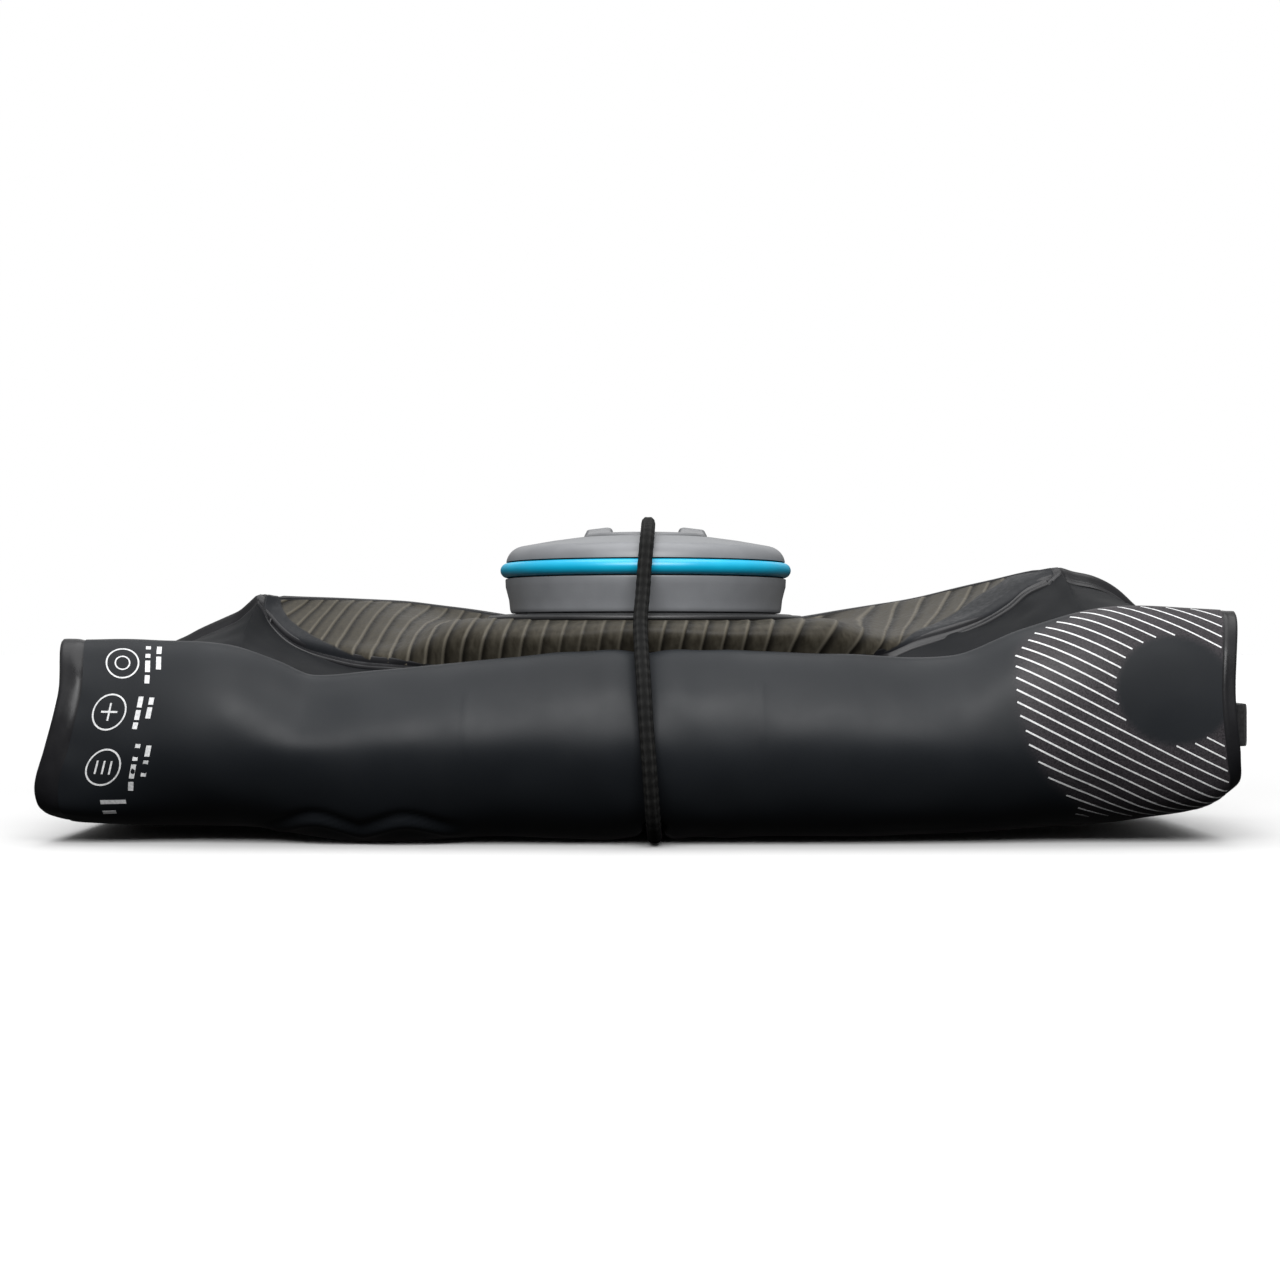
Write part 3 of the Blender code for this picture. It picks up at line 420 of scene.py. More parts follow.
def rounded(profile, radius, closed, steps=3):
    """The profile with each corner replaced by a short curve."""
    made, count = [], len(profile)
    for i, here in enumerate(profile):
        if not closed and i in (0, count - 1):
            made.append(here)
            continue
        p = np.array(here)
        a, b = np.array(profile[i - 1]) - p, np.array(profile[(i + 1) % count]) - p
        la, lb = np.linalg.norm(a), np.linalg.norm(b)
        straight = abs(math.pi - math.acos(np.clip(a @ b / (la * lb), -1.0, 1.0))) < math.radians(14)
        if straight:
            made.append(here)
            continue
        a, b = a / la * min(radius, 0.45 * la), b / lb * min(radius, 0.45 * lb)
        made += [tuple(p + a * (1 - t) ** 2 + b * t ** 2) for t in np.linspace(0.0, 1.0, steps + 1)]
    return made


def arc(centre_r, centre_z, radius, start, end, count):
    return [(centre_r + radius * math.cos(math.radians(mix(start, end, k / count))),
             centre_z + radius * math.sin(math.radians(mix(start, end, k / count))))
            for k in range(count + 1)]


def wall(radius, top, bottom, step=0.00028):
    """Points down a straight wall of a profile, close enough for a thread."""
    return [(radius, z) for z in np.linspace(top, bottom, max(2, round(abs(top - bottom) / step)))]


def thread(start_z, side, radius):
    """A screw thread as a ridge on a turned wall of that radius: side 1 outwards, -1 inwards."""
    def ridge(angle, r, z):
        turn = angle / math.tau
        total = 0.0
        for lap in range(-1, 3):
            along_it = turn + lap
            run = blend(0.0, 0.06, along_it) * (1.0 - blend(THREAD_TURNS - 0.06, THREAD_TURNS, along_it))
            height = np.sqrt(np.clip(1.0 - ((z - start_z - LEAD * along_it) / THREAD_WIRE) ** 2, 0.0, 1.0))
            total = total + run * height
        return np.where(abs(r - radius) < 1e-6, side * 0.9 * THREAD_WIRE * total, 0.0)
    return ridge


def joined_boxes(name, boxes, look, edge=0.0, segments=2):
    """Boxes of (size, centre) as one object, with bevelled edges."""
    build = bmesh.new()
    for size, centre in boxes:
        made = bmesh.ops.create_cube(build, size=1.0)
        bmesh.ops.scale(build, vec=size, verts=made["verts"])
        bmesh.ops.translate(build, vec=centre, verts=made["verts"])
    mesh = bpy.data.meshes.new(name)
    build.to_mesh(mesh)
    build.free()
    mesh.materials.append(look)
    item = bpy.data.objects.new(name, mesh)
    bpy.context.scene.collection.objects.link(item)
    if edge:
        bevel = item.modifiers.new("edge", "BEVEL")
        bevel.width, bevel.segments = edge, segments
    return item


def applied(item):
    """Gives the item the mesh that its modifiers make."""
    bpy.context.view_layer.update()
    seen = item.evaluated_get(bpy.context.evaluated_depsgraph_get())
    mesh = bpy.data.meshes.new_from_object(seen)
    item.modifiers.clear()
    item.data = mesh
    return item


def placed(item, body, slot, *nodes):
    """Rides on its body and stands for its nodes; slot is not used."""
    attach(item, body)
    if nodes:
        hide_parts(*nodes)
    return item


# ---------------------------------------------------------------- materials
def new_material(name, colour, roughness, metallic=0.0, specular=0.5, coat=0.0, sheen=0.0):
    made = bpy.data.materials.new(name)
    made.use_nodes = True
    tree = made.node_tree
    shader = tree.nodes["Principled BSDF"]
    shader.inputs["Base Color"].default_value = (*colour, 1.0)
    shader.inputs["Roughness"].default_value = roughness
    shader.inputs["Metallic"].default_value = metallic
    shader.inputs["Specular IOR Level"].default_value = specular
    shader.inputs["Coat Weight"].default_value = coat
    shader.inputs["Coat Roughness"].default_value = 0.25
    shader.inputs["Sheen Weight"].default_value = sheen
    shader.inputs["Sheen Roughness"].default_value = 0.4
    where = tree.nodes.new("ShaderNodeTexCoord")
    return made, tree, shader, where.outputs["Object"]


def noise_node(tree, where, size, detail=3.0, stretch=None):
    """Noise whose grains are about size metres; stretch makes them longer one way."""
    if stretch is not None:
        mapping = tree.nodes.new("ShaderNodeMapping")
        mapping.inputs["Scale"].default_value = stretch
        tree.links.new(where, mapping.inputs["Vector"])
        where = mapping.outputs["Vector"]
    made = tree.nodes.new("ShaderNodeTexNoise")
    made.inputs["Scale"].default_value = 1.0 / size
    made.inputs["Detail"].default_value = detail
    tree.links.new(where, made.inputs["Vector"])
    return made.outputs["Fac"]


def ramp_node(tree, value, low, high, from_low=0.3, from_high=0.7):
    """The value spread from low to high, numbers or colours."""
    made = tree.nodes.new("ShaderNodeMapRange" if not isinstance(low, tuple) else "ShaderNodeValToRGB")
    if isinstance(low, tuple):
        first, last = made.color_ramp.elements
        first.position, first.color = from_low, (*low, 1.0)
        last.position, last.color = from_high, (*high, 1.0)
        tree.links.new(value, made.inputs["Fac"])
        return made.outputs["Color"]
    for label, number in (("From Min", from_low), ("From Max", from_high), ("To Min", low), ("To Max", high)):
        made.inputs[label].default_value = number
    tree.links.new(value, made.inputs["Value"])
    return made.outputs["Result"]


def colour_mix(tree, share, a, b):
    made = tree.nodes.new("ShaderNodeMix")
    made.data_type = "RGBA"
    tree.links.new(share, made.inputs["Factor"])
    for socket, given in ((made.inputs["A"], a), (made.inputs["B"], b)):
        if isinstance(given, tuple):
            socket.default_value = (*given, 1.0)
        else:
            tree.links.new(given, socket)
    return made.outputs["Result"]


def attribute_node(tree, label):
    made = tree.nodes.new("ShaderNodeAttribute")
    made.attribute_name = label
    return made.outputs["Fac"]


def bump_node(tree, shader, height, strength, distance, before=None):
    made = tree.nodes.new("ShaderNodeBump")
    made.inputs["Strength"].default_value = strength
    made.inputs["Distance"].default_value = distance
    tree.links.new(height, made.inputs["Height"])
    if before is not None:
        tree.links.new(before, made.inputs["Normal"])
    tree.links.new(made.outputs["Normal"], shader.inputs["Normal"])
    return made.outputs["Normal"]


def film_look(name, dark, light, roughness, specular, print_ground=False):
    """Soft coated film: colour that drifts, a fine matte grain and rubbed patches."""
    made, tree, shader, where = new_material(name, dark, roughness, specular=specular)
    drift = noise_node(tree, where, 0.045, 4.0)
    colour = ramp_node(tree, drift, dark, light)
    grain = noise_node(tree, where, 0.00035, 2.0)
    if print_ground:
        tinted = ramp_node(tree, grain, (0.016, 0.0145, 0.0165), (0.040, 0.036, 0.040), 0.35, 0.65)
        colour = colour_mix(tree, attribute_node(tree, "ground"), colour, tinted)
    tree.links.new(colour, shader.inputs["Base Color"])
    rubbed = noise_node(tree, where, 0.014, 5.0)
    tree.links.new(ramp_node(tree, rubbed, roughness - 0.05, roughness + 0.07), shader.inputs["Roughness"])
    soft = bump_node(tree, shader, rubbed, 0.06, 0.0006)
    bump_node(tree, shader, grain, 0.10, 0.00008, soft)
    return made


def ribbed_look():
    """Coated film with moulded ribs: brown grey, lightest on each rib's edge as a painted highlight and dark
    behind it as painted shade.
    """
    made, tree, shader, where = new_material("ribbed_film_look", (0.03, 0.026, 0.02), 0.46, specular=0.14)
    streaks = noise_node(tree, where, 0.0012, 4.0, (1.0, 1.0, 0.45))
    raised = ramp_node(tree, streaks, (0.024, 0.0208, 0.0150), (0.047, 0.0418, 0.0315))
    # The groove mask paints shade behind each rib's step; the rib-edge mask paints a highlight on the step's
    # edge.
    colour = colour_mix(tree, attribute_node(tree, "groove"), raised, (0.0065, 0.0056, 0.0042))
    colour = colour_mix(tree, attribute_node(tree, "rib_edge_highlight"), colour, (0.088, 0.079, 0.062))
    colour = colour_mix(tree, attribute_node(tree, "border"), colour, (0.011, 0.012, 0.014))
    tree.links.new(colour, shader.inputs["Base Color"])
    tree.links.new(ramp_node(tree, streaks, 0.38, 0.54), shader.inputs["Roughness"])
    fine = noise_node(tree, where, 0.0004, 2.0)
    bump_node(tree, shader, fine, 0.16, 0.00012)
    return made


def weld_look():
    """Fused edge: smooth, glossier and pressed with a fine grain."""
    made, tree, shader, where = new_material("weld_band_look", (0.006, 0.006, 0.007), 0.36,
                                             specular=0.3, coat=0.05)
    drift = noise_node(tree, where, 0.012, 4.0)
    tree.links.new(ramp_node(tree, drift, (0.0045, 0.0045, 0.0055), (0.010, 0.010, 0.0115)),
                   shader.inputs["Base Color"])
    tree.links.new(ramp_node(tree, drift, 0.26, 0.40), shader.inputs["Roughness"])
    fine = noise_node(tree, where, 0.0011, 3.0)
    bump_node(tree, shader, fine, 0.14, 0.00018)
    return made


def moulded_look(name, dark, light, roughness, grain_size, grain, specular=0.5, coat=0.0, scuff=0.25):
    """Moulded plastic or rubber: faint colour drift, fine texture, scuffs along sharp edges."""
    made, tree, shader, where = new_material(name, dark, roughness, specular=specular, coat=coat)
    drift = noise_node(tree, where, 0.010, 4.0)
    colour = ramp_node(tree, drift, dark, light)
    edge = tree.nodes.new("ShaderNodeNewGeometry").outputs["Pointiness"]
    worn = ramp_node(tree, edge, 0.0, scuff, 0.52, 0.60)
    pale = tuple(min(1.0, 1.6 * c + 0.02) for c in light)
    tree.links.new(colour_mix(tree, worn, colour, pale), shader.inputs["Base Color"])
    tree.links.new(ramp_node(tree, drift, roughness - 0.04, roughness + 0.06), shader.inputs["Roughness"])
    fine = noise_node(tree, where, grain_size, 2.0)
    scratch = noise_node(tree, where, 0.0012, 3.0, (1.0, 1.0, 0.15))
    first = bump_node(tree, shader, scratch, 0.03, 0.0002)
    bump_node(tree, shader, fine, grain, 0.00012, first)
    return made


def braid_look():
    """Textile sheath: dark yarn, lighter where the strands stand up as a painted highlight, darker in the
    grooves between them as painted shade.
    """
    made, tree, shader, where = new_material("cord_black_look", (0.010, 0.010, 0.010), 0.80, specular=0.12)
    yarn = noise_node(tree, where, 0.0006, 3.0)
    low = ramp_node(tree, yarn, (0.0015, 0.0015, 0.0015), (0.0035, 0.0035, 0.0035))
    high = ramp_node(tree, yarn, (0.009, 0.009, 0.009), (0.023, 0.023, 0.022))
    tree.links.new(colour_mix(tree, attribute_node(tree, "strand_light_and_shade"), low, high), shader.inputs["Base Color"])
    tree.links.new(ramp_node(tree, yarn, 0.68, 0.86), shader.inputs["Roughness"])
    fine = noise_node(tree, where, 0.00018, 2.0)
    bump_node(tree, shader, fine, 0.35, 0.00012)
    return made


def webbing_look():
    """Woven nylon tape: fine ribs across and warp lines along."""
    made, tree, shader, where = new_material("webbing_black_look", (0.012, 0.012, 0.013), 0.80,
                                             specular=0.3, sheen=0.3)
    yarn = noise_node(tree, where, 0.0007, 3.0)
    tree.links.new(ramp_node(tree, yarn, (0.006, 0.006, 0.007), (0.026, 0.026, 0.027)),
                   shader.inputs["Base Color"])
    tree.links.new(ramp_node(tree, yarn, 0.70, 0.88), shader.inputs["Roughness"])
    weave = tree.nodes.new("ShaderNodeTexWave")
    weave.bands_direction = "Y"
    weave.inputs["Scale"].default_value = 900.0
    tree.links.new(where, weave.inputs["Vector"])
    bump_node(tree, shader, weave.outputs["Fac"], 0.5, 0.00018)
    return made


def metal_look():
    """Crimped aluminium: brushed round."""
    made, tree, shader, where = new_material("ferrule_metal_look", (0.30, 0.30, 0.31), 0.32, metallic=1.0)
    brushed = noise_node(tree, where, 0.0009, 4.0, (1.0, 1.0, 8.0))
    tree.links.new(ramp_node(tree, brushed, (0.20, 0.20, 0.21), (0.42, 0.42, 0.43)),
                   shader.inputs["Base Color"])
    tree.links.new(ramp_node(tree, brushed, 0.24, 0.42), shader.inputs["Roughness"])
    bump_node(tree, shader, brushed, 0.12, 0.00006)
    return made


def ink_look():
    """Screen-printed white ink, slightly uneven."""
    made, tree, shader, where = new_material("print_ink_look", (0.80, 0.80, 0.80), 0.50, specular=0.4)
    speck = noise_node(tree, where, 0.0006, 3.0)
    tree.links.new(ramp_node(tree, speck, (0.48, 0.49, 0.50), (0.74, 0.74, 0.74)),
                   shader.inputs["Base Color"])
    tree.links.new(ramp_node(tree, speck, 0.42, 0.60), shader.inputs["Roughness"])
    bump_node(tree, shader, speck, 0.05, 0.00003)
    return made


# ---------------------------------------------------------------- films of the bag
def panel_x():
    return np.linspace(-HALF_LENGTH + WELD_LEFT, HALF_LENGTH - WELD_RIGHT, STATIONS)


def film_relief(place, across, hidden):
    """Soft waves, pressed lines and folds of the outer film; across is 0 at the crest, + down the front."""
    x, z = place[:, :, 0], place[:, :, 2]
    front = blend(-0.016, 0.0, across) * (1.0 - blend(0.075, 0.095, across))
    waves = 0.00028 * ripple(x, across, 0.052, 3) + 0.00011 * ripple(x, across, 0.019, 5)
    cord = x - (BAG_X + 0.0012)
    pinch = (-0.0004 * bump_at(cord, 0.0, 0.0030) + 0.0006 * bump_at(abs(cord), 0.0075, 0.0050)
             + 0.0003 * bump_at(abs(cord), 0.0190, 0.0060))
    pull = 0.00016 * np.sin(cord / 0.0024 + 3.0 * z / 0.010) * bump_at(cord, 0.0, 0.020)
    low = 1.0 - blend(0.004, 0.018, z)
    pressed = sum(0.00016 * bump_at(x, place_x, 0.0007) for place_x in (-0.0412, 0.0243))
    pressed = pressed * blend(0.008, 0.012, across) * (1.0 - blend(0.022, 0.027, across))
    arches = np.maximum(bump_at(x, -0.0760, 0.0085), bump_at(x, -0.0555, 0.0085))
    line = 0.0030 + 0.0034 * arches
    fold = blend(-0.092, -0.082, x) * (1.0 - blend(-0.048, -0.040, x)) * front
    fold = fold * (-0.0007 * bump_at(z, line + 0.0009, 0.0009) + 0.0009 * bump_at(z, line - 0.0010, 0.0012))
    lip = 0.0004 * bump_at(x, -0.074, 0.014) * bump_at(across, 0.001, 0.0022)
    hollow = -0.0006 * bump_at(x, -0.085, 0.012) * bump_at(across, 0.010, 0.006)
    pucker = 0.00014 * np.sin(across / 0.0016) * bump_at(x, -0.134, 0.006)
    total = waves + front * (pinch + pull * (0.4 + low) + pressed + lip + hollow + pucker) + fold
    return total * (1.0 - hidden)


def outer_sheet(xs, start, finish, top, visible, inner):
    """The outer ply at stations xs: columns from start to the crest, past it, and into the roll."""
    places, across, hidden = [], [], []
    for x in xs:
        curve = spline(roll_section(x))
        run = lengths(curve)
        crest = run[CREST_POINT * PER_SPAN]
        at = np.concatenate([np.linspace(start, crest, top, endpoint=False),
                             np.linspace(crest, crest + 0.024, visible, endpoint=False),
                             np.linspace(crest + 0.024, run[-1] - finish, inner)])
        places.append(lay(x, kept_up(x, read(curve, at))))
        across.append(crest - at)
        hidden.append(blend(0.018, 0.030, at - crest))
    place = np.array(places)
    return Sheet(xs, np.array(across), place, place - place.mean(axis=1, keepdims=True)), np.array(hidden)


PRINT_EDGE = [(0.0092, 0.0962), (0.0142, 0.0896), (0.0183, 0.0862), (0.0223, 0.0839), (0.0260, 0.0826),
              (0.0293, 0.0817), (0.0325, 0.0811), (0.0379, 0.0808), (0.0400, 0.0812), (0.0435, 0.0817),
              (0.0457, 0.0834), (0.0475, 0.0856), (0.0490, 0.0883), (0.0506, 0.0920), (0.0521, 0.0959)]
BLANK_X, BLANK_Z, BLANK_R = 0.1174, 0.0352, 0.0137


def print_edge(z):
    """Left edge of the striped print, by height."""
    heights, places = zip(*PRINT_EDGE)
    return np.interp(z, heights, places)


def from_blank(x, z):
    """Distance from the middle of the print's round blank, as it lies on the bulging film."""
    return np.hypot(x - BLANK_X, 1.12 * (z - BLANK_Z))


def in_print(place):
    """Whether a place on the front lies in the striped print, outside its round blank."""
    return place[0] > print_edge(place[2]) and from_blank(place[0], place[2]) > BLANK_R


def ground_tint(sheet):
    """1 where the film carries the print's faint ground, 0 elsewhere."""
    x, z = sheet.place[:, :, 0], sheet.place[:, :, 2]
    front = blend(-0.006, 0.0, sheet.across) * (1.0 - blend(0.055, 0.062, sheet.across))
    edge = print_edge(z)
    return (blend(edge - 0.002, edge + 0.003, x)
            * blend(BLANK_R - 0.0010, BLANK_R + 0.0010, from_blank(x, z)) * front)


def make_front_panel(look):
    xs = panel_x()
    sheet, hidden = outer_sheet(xs, SEAM_WELD - 0.0004, BOTTOM_WELD, 190, 24, 70)
    outer = sheet.raised(FILM / 2)
    outer = off_floor(outer.raised(film_relief(outer.place, outer.across, hidden))).ready()
    inner = off_floor(outer.raised(-SHEET), 0.0004)
    item = slab("front_panel_film", outer.place, inner.place, look, [("ground", ground_tint(outer))])
    placed(item, "bag", "front_film", "front_panel")
    return outer


def make_back_panel(look):
    xs = panel_x()
    places, across = [], []
    for x in xs:
        curve = tuck_curve(x)
        run = lengths(curve)
        total = run[-1] - BOTTOM_WELD
        at = np.concatenate([np.linspace(TUCK_FROM, 0.075, 90, endpoint=False),
                             np.linspace(0.075, total, 90)])
        places.append(lay(x, kept_up(x, read(curve, at), PLY)))
        across.append(at)
    place = np.array(places)
    sheet = Sheet(xs, np.array(across), place, np.broadcast_to((0.0, 0.0, 1.0), place.shape))
    top = 1.0 - blend(0.040, 0.060, sheet.across)
    sheet.turn = math.copysign(1.0, float((sheet.normal()[:, :40, 2]).mean())) * sheet.turn
    outer = sheet.raised(FILM / 2)
    height = top * (0.00030 * ripple(outer.place[:, :, 0], outer.across, 0.030, 11)
                    + 0.00012 * ripple(outer.place[:, :, 0], outer.across, 0.012, 12))
    outer = outer.raised(height).ready()
    item = slab("back_panel_film", outer.place, outer.raised(-SHEET).place, look)
    placed(item, "bag", "back_film", "back_panel")
    return outer


def make_side_weld(name, node, side, width, look):
    """Fused end of the roll: flush with the outer film, thinning to its free edge."""
    xs = np.sort(side * np.linspace(HALF_LENGTH - width - 0.0002, HALF_LENGTH, 15))
    sheet, hidden = outer_sheet(xs, 0.0, 0.0, 190, 24, 70)
    outer = sheet.raised(FILM / 2)
    share = np.abs(side * sheet.x[:, None] - HALF_LENGTH + width) / width
    relief = film_relief(outer.place, outer.across, hidden) * (1.0 - blend(0.0, 0.5, share))
    step = -0.00018 * bump_at(share, 0.08, 0.14) - 0.00010 * blend(0.05, 0.45, share)
    edge = -0.00045 * blend(0.88, 1.0, share) ** 2
    outer = off_floor(outer.raised(relief + step + edge))
    thick = mix(PLY + FILM, 0.0013, blend(0.0, 0.55, share)) - 0.0009 * blend(0.90, 1.0, share)
    inner = off_floor(outer.raised(-np.broadcast_to(thick, outer.place.shape[:2])))
    item = slab(name, outer.place, inner.place, look)
    placed(item, "bag", "weld_band", node)


def band_sheet(xs, path, count, outward):
    """A strip through the section points that path(x) gives, as a sheet."""
    places, across = [], []
    for x in xs:
        curve = spline(path(x))
        at = np.linspace(0.0, lengths(curve)[-1], count)
        places.append(lay(x, read(curve, at)))
        across.append(at)
    return Sheet(xs, np.array(across), np.array(places), np.broadcast_to(outward, np.array(places).shape))


def gusset_curve(x):
    return level_under_flange(x, spline(gusset_section(x)))


def level_under_flange(x, curve):
    """The gusset lies flat where the neck's flange is welded to it."""
    away = np.hypot(x - NECK_SHIFT, curve[:, 0])
    free = np.maximum(blend(FLANGE_R, FLANGE_R + 0.006, away),
                      1.0 - blend(FLAT_LEVEL - 0.0036, FLAT_LEVEL - 0.0006, curve[:, 1]))
    return np.column_stack([curve[:, 0], mix(FLAT_LEVEL, curve[:, 1], free)])


def wing(x):
    """0 along the middle of the bag, 1 out on its wings, where the seams' edges are broad."""
    return blend(0.048, 0.064, abs(x))


def front_band_path(x):
    """From under the tuck, round the gusset's front seam and onto the gusset."""
    tuck, top = tuck_curve(x), gusset_curve(x)
    reach = min(mix(0.0008, 0.0026, wing(x)), 0.30 * lengths(top)[-1])
    under = mix(0.0012, 0.0030, wing(x))
    return [tuple(p) for p in np.vstack([read(tuck, np.array([1.0, 0.65, 0.30]) * under),
                                         read(top, np.array([0.15, 0.55, 1.0]) * reach)])]


def rear_band_path(x):
    """From the back of the roll, over the rear seam, and onto the gusset or the wing's front ply."""
    roll = spline(roll_section(x))
    if TIP_LEFT + 0.004 < x < TIP_RIGHT - 0.004:
        top = gusset_curve(x)[::-1]
        reach = min(0.0016, 0.30 * lengths(top)[-1])
    else:
        top, reach = tuck_curve(x), 0.0030
    return [tuple(p) for p in np.vstack([read(roll, np.array([SEAM_WELD, 0.0030, 0.0012])),
                                         read(top, np.array([0.18, 0.55, 1.0]) * reach)])]


def make_gusset_weld_front(look):
    xs = np.linspace(TIP_LEFT + 0.0022, TIP_RIGHT - 0.0022, 240)
    sheet = band_sheet(xs, front_band_path, 22, (0.0, -1.0, 0.4))
    share = sheet.across / sheet.across[:, -1:]
    broad = np.array([wing(x) for x in xs])[:, None]
    height = mix(0.00046, 0.00052, broad) + 0.00008 * ripple(sheet.place[:, :, 0], sheet.across, 0.016, 21)
    height = height - 0.0005 * (1.0 - blend(0.0, 0.10, share)) - 0.0005 * blend(0.90, 1.0, share)
    outer = sheet.raised(height)
    item = slab("gusset_front_band", outer.place, sheet.raised(-0.00035).place, look)
    placed(item, "bag", "weld_band", "gusset_weld_front")


def make_gusset_weld_rear(look):
    xs = panel_x()
    sheet = band_sheet(xs, rear_band_path, 22, (0.0, 0.5, 1.0))
    share = sheet.across / sheet.across[:, -1:]
    height = 0.00058 + 0.00008 * ripple(sheet.place[:, :, 0], sheet.across, 0.016, 22)
    height = height - 0.0005 * (1.0 - blend(0.0, 0.10, share)) - 0.0005 * blend(0.90, 1.0, share)
    outer = sheet.raised(height)
    item = slab("gusset_rear_band", outer.place, sheet.raised(-0.00035).place, look)
    placed(item, "bag", "weld_band", "gusset_weld_rear")


def make_bottom_weld(look):
    xs = HALF_LENGTH * np.linspace(-0.95, 0.97, 90)
    places = []
    for x in xs:
        curve = moved_in(spline(roll_section(x)), PLY / 2)
        total = lengths(curve)[-1]
        places.append(lay(x, read(curve, np.linspace(total - BOTTOM_WELD + GAP, total, 16))))
    place = np.array(places)
    sheet = Sheet(xs, np.zeros(place.shape[:2]), place, np.broadcast_to((0.0, 0.0, 1.0), place.shape))
    rows = 0.00010 * np.sin(np.linspace(0.0, math.tau * 4, 16))[None, :]
    item = slab("bottom_band", sheet.raised(0.0009 + rows).place, sheet.raised(-0.0009 - rows).place, look)
    placed(item, "bag", "weld_band", "bottom_weld")


def rib_phase(xs, rise):
    """Which rib a place on the gusset belongs to, by section and height above the front seam."""
    lean = np.array([along(LEAN, x) for x in xs])[:, None]
    x = xs[:, None] - rise * (lean + 16.0 * rise)
    return x / mix(RIB_PITCH, RIB_PITCH_RIGHT, blend(0.020, 0.060, x))


def make_top_gusset(look):
    xs = np.linspace(TIP_LEFT + 0.0016, TIP_RIGHT - 0.0016, 700)
    places, across = [], []
    for x in xs:
        curve = gusset_curve(x)
        total = lengths(curve)[-1]
        at = np.linspace(0.0004, total - 0.0004, 160)
        places.append(lay(x, read(curve, at)))
        across.append(at)
    place, v = np.array(places), np.array(across)
    sheet = Sheet(xs, v, place, np.broadcast_to((0.0, -0.3, 1.0), place.shape))
    x = np.broadcast_to(xs[:, None], v.shape)
    total = v[:, -1:]
    away = np.hypot(place[:, :, 0] - CAP_X, place[:, :, 1] - CAP_Y)
    rim = np.minimum(v, total - v)
    rise = place[:, :, 2] - np.array([front_seam(x)[1] for x in xs])[:, None]
    edge = np.array([along(BORDER, x) for x in xs])[:, None]
    border = 1.0 - blend(edge - 0.0002, edge + 0.0002, rise) * blend(0.0010, 0.0014, total - v)
    phase = rib_phase(xs, rise) + 0.05 * ripple(x, v, 0.030, 31)
    share = phase - np.floor(phase)
    ribbed = (1.0 - border) * blend(FLANGE_R + 0.0002, FLANGE_R + 0.0016, away)
    faint = 1.0 - 0.35 * bump_at(x, -0.014, 0.014)
    climb = share * (1.0 - blend(0.90, 1.0, share))
    # Colour masks for the ribs: hollow is painted shade behind each step, lip a painted highlight on its
    # edge.
    hollow = (1.0 - blend(0.0, 0.45, share)) + blend(0.94, 1.0, share)
    lip = bump_at(share, 0.905, 0.065)
    waves = (0.00040 * ripple(x, v, 0.038, 33) + 0.00018 * ripple(x, v, 0.015, 34))
    waves = waves * blend(FLANGE_R + 0.001, FLANGE_R + 0.012, away) * blend(0.0, 0.004, rim)
    outer = sheet.raised(FILM / 2 + waves)
    outer = outer.raised(ribbed * faint * RIB_STEP * (climb - 0.6))
    flat = outer.place.reshape(-1, 3).copy()
    radius = np.hypot(flat[:, 0] - CAP_X, flat[:, 1] - CAP_Y)
    hole = SPOUT_WALL + 0.0008
    near = abs(radius - hole) < 0.0004
    for k in (0, 1):
        centre = (CAP_X, CAP_Y)[k]
        flat[near, k] = centre + (flat[near, k] - centre) * hole / radius[near]
    n, m = v.shape
    index = np.arange(n * m).reshape(n, m)
    quads = grid_quads(index)
    centres = flat[quads].mean(axis=1)
    kept = quads[np.hypot(centres[:, 0] - CAP_X, centres[:, 1] - CAP_Y) > hole]
    item = mesh_object("top_gusset_film", flat, kept.tolist(), look, 60.0,
                       [("groove", (hollow * ribbed * faint).ravel()),
                        ("rib_edge_highlight", (lip * ribbed * faint).ravel()),
                        ("border", border.ravel())])
    item.data.validate()
    keep_used(item)
    shell = item.modifiers.new("thickness", "SOLIDIFY")
    shell.thickness, shell.offset, shell.use_even_offset = SHEET, -1.0, False
    applied(item)
    placed(item, "bag", "ribbed_film", "top_gusset")


def keep_used(item):
    """Removes the points that no face uses, and turns the film's faces upwards."""
    build = bmesh.new()
    build.from_mesh(item.data)
    bmesh.ops.delete(build, geom=[v for v in build.verts if not v.link_faces], context="VERTS")
    if sum(f.normal.z for f in build.faces) < 0:
        bmesh.ops.reverse_faces(build, faces=build.faces)
    build.to_mesh(item.data)
    build.free()


# ---------------------------------------------------------------- prints
def ink_mesh(name, sheet, lines, look, body="bag"):
    """Printed lines on a sheet: each is (points of (x, across), half width, closed)."""
    verts, faces = [], []
    for points, half, closed in lines:
        p = np.array(points, float)
        if closed:
            step = np.roll(p, -1, axis=0) - np.roll(p, 1, axis=0)
        else:
            step = np.gradient(p, axis=0)
        step = step / np.linalg.norm(step, axis=1, keepdims=True)
        side = np.column_stack([-step[:, 1], step[:, 0]]) * half
        first, count = len(verts), len(p)
        for centre, offset in zip(p, side):
            for sign, height in ((-1, 0.00002), (1, 0.00002), (1, INK + 0.00002), (-1, INK + 0.00002)):
                q = centre + sign * offset
                verts.append(sheet.at(q[0], q[1], height))
        rings = range(count if closed else count - 1)
        for i in rings:
            a, b = first + 4 * i, first + 4 * ((i + 1) % count)
            faces += [(a + k, a + (k + 1) % 4, b + (k + 1) % 4, b + k) for k in range(4)]
        if not closed:
            last = first + 4 * (count - 1)
            faces += [(first, first + 3, first + 2, first + 1), (last, last + 1, last + 2, last + 3)]
    item = mesh_object(name, verts, faces, look, 30.0)
    placed(item, body, None)
    return item


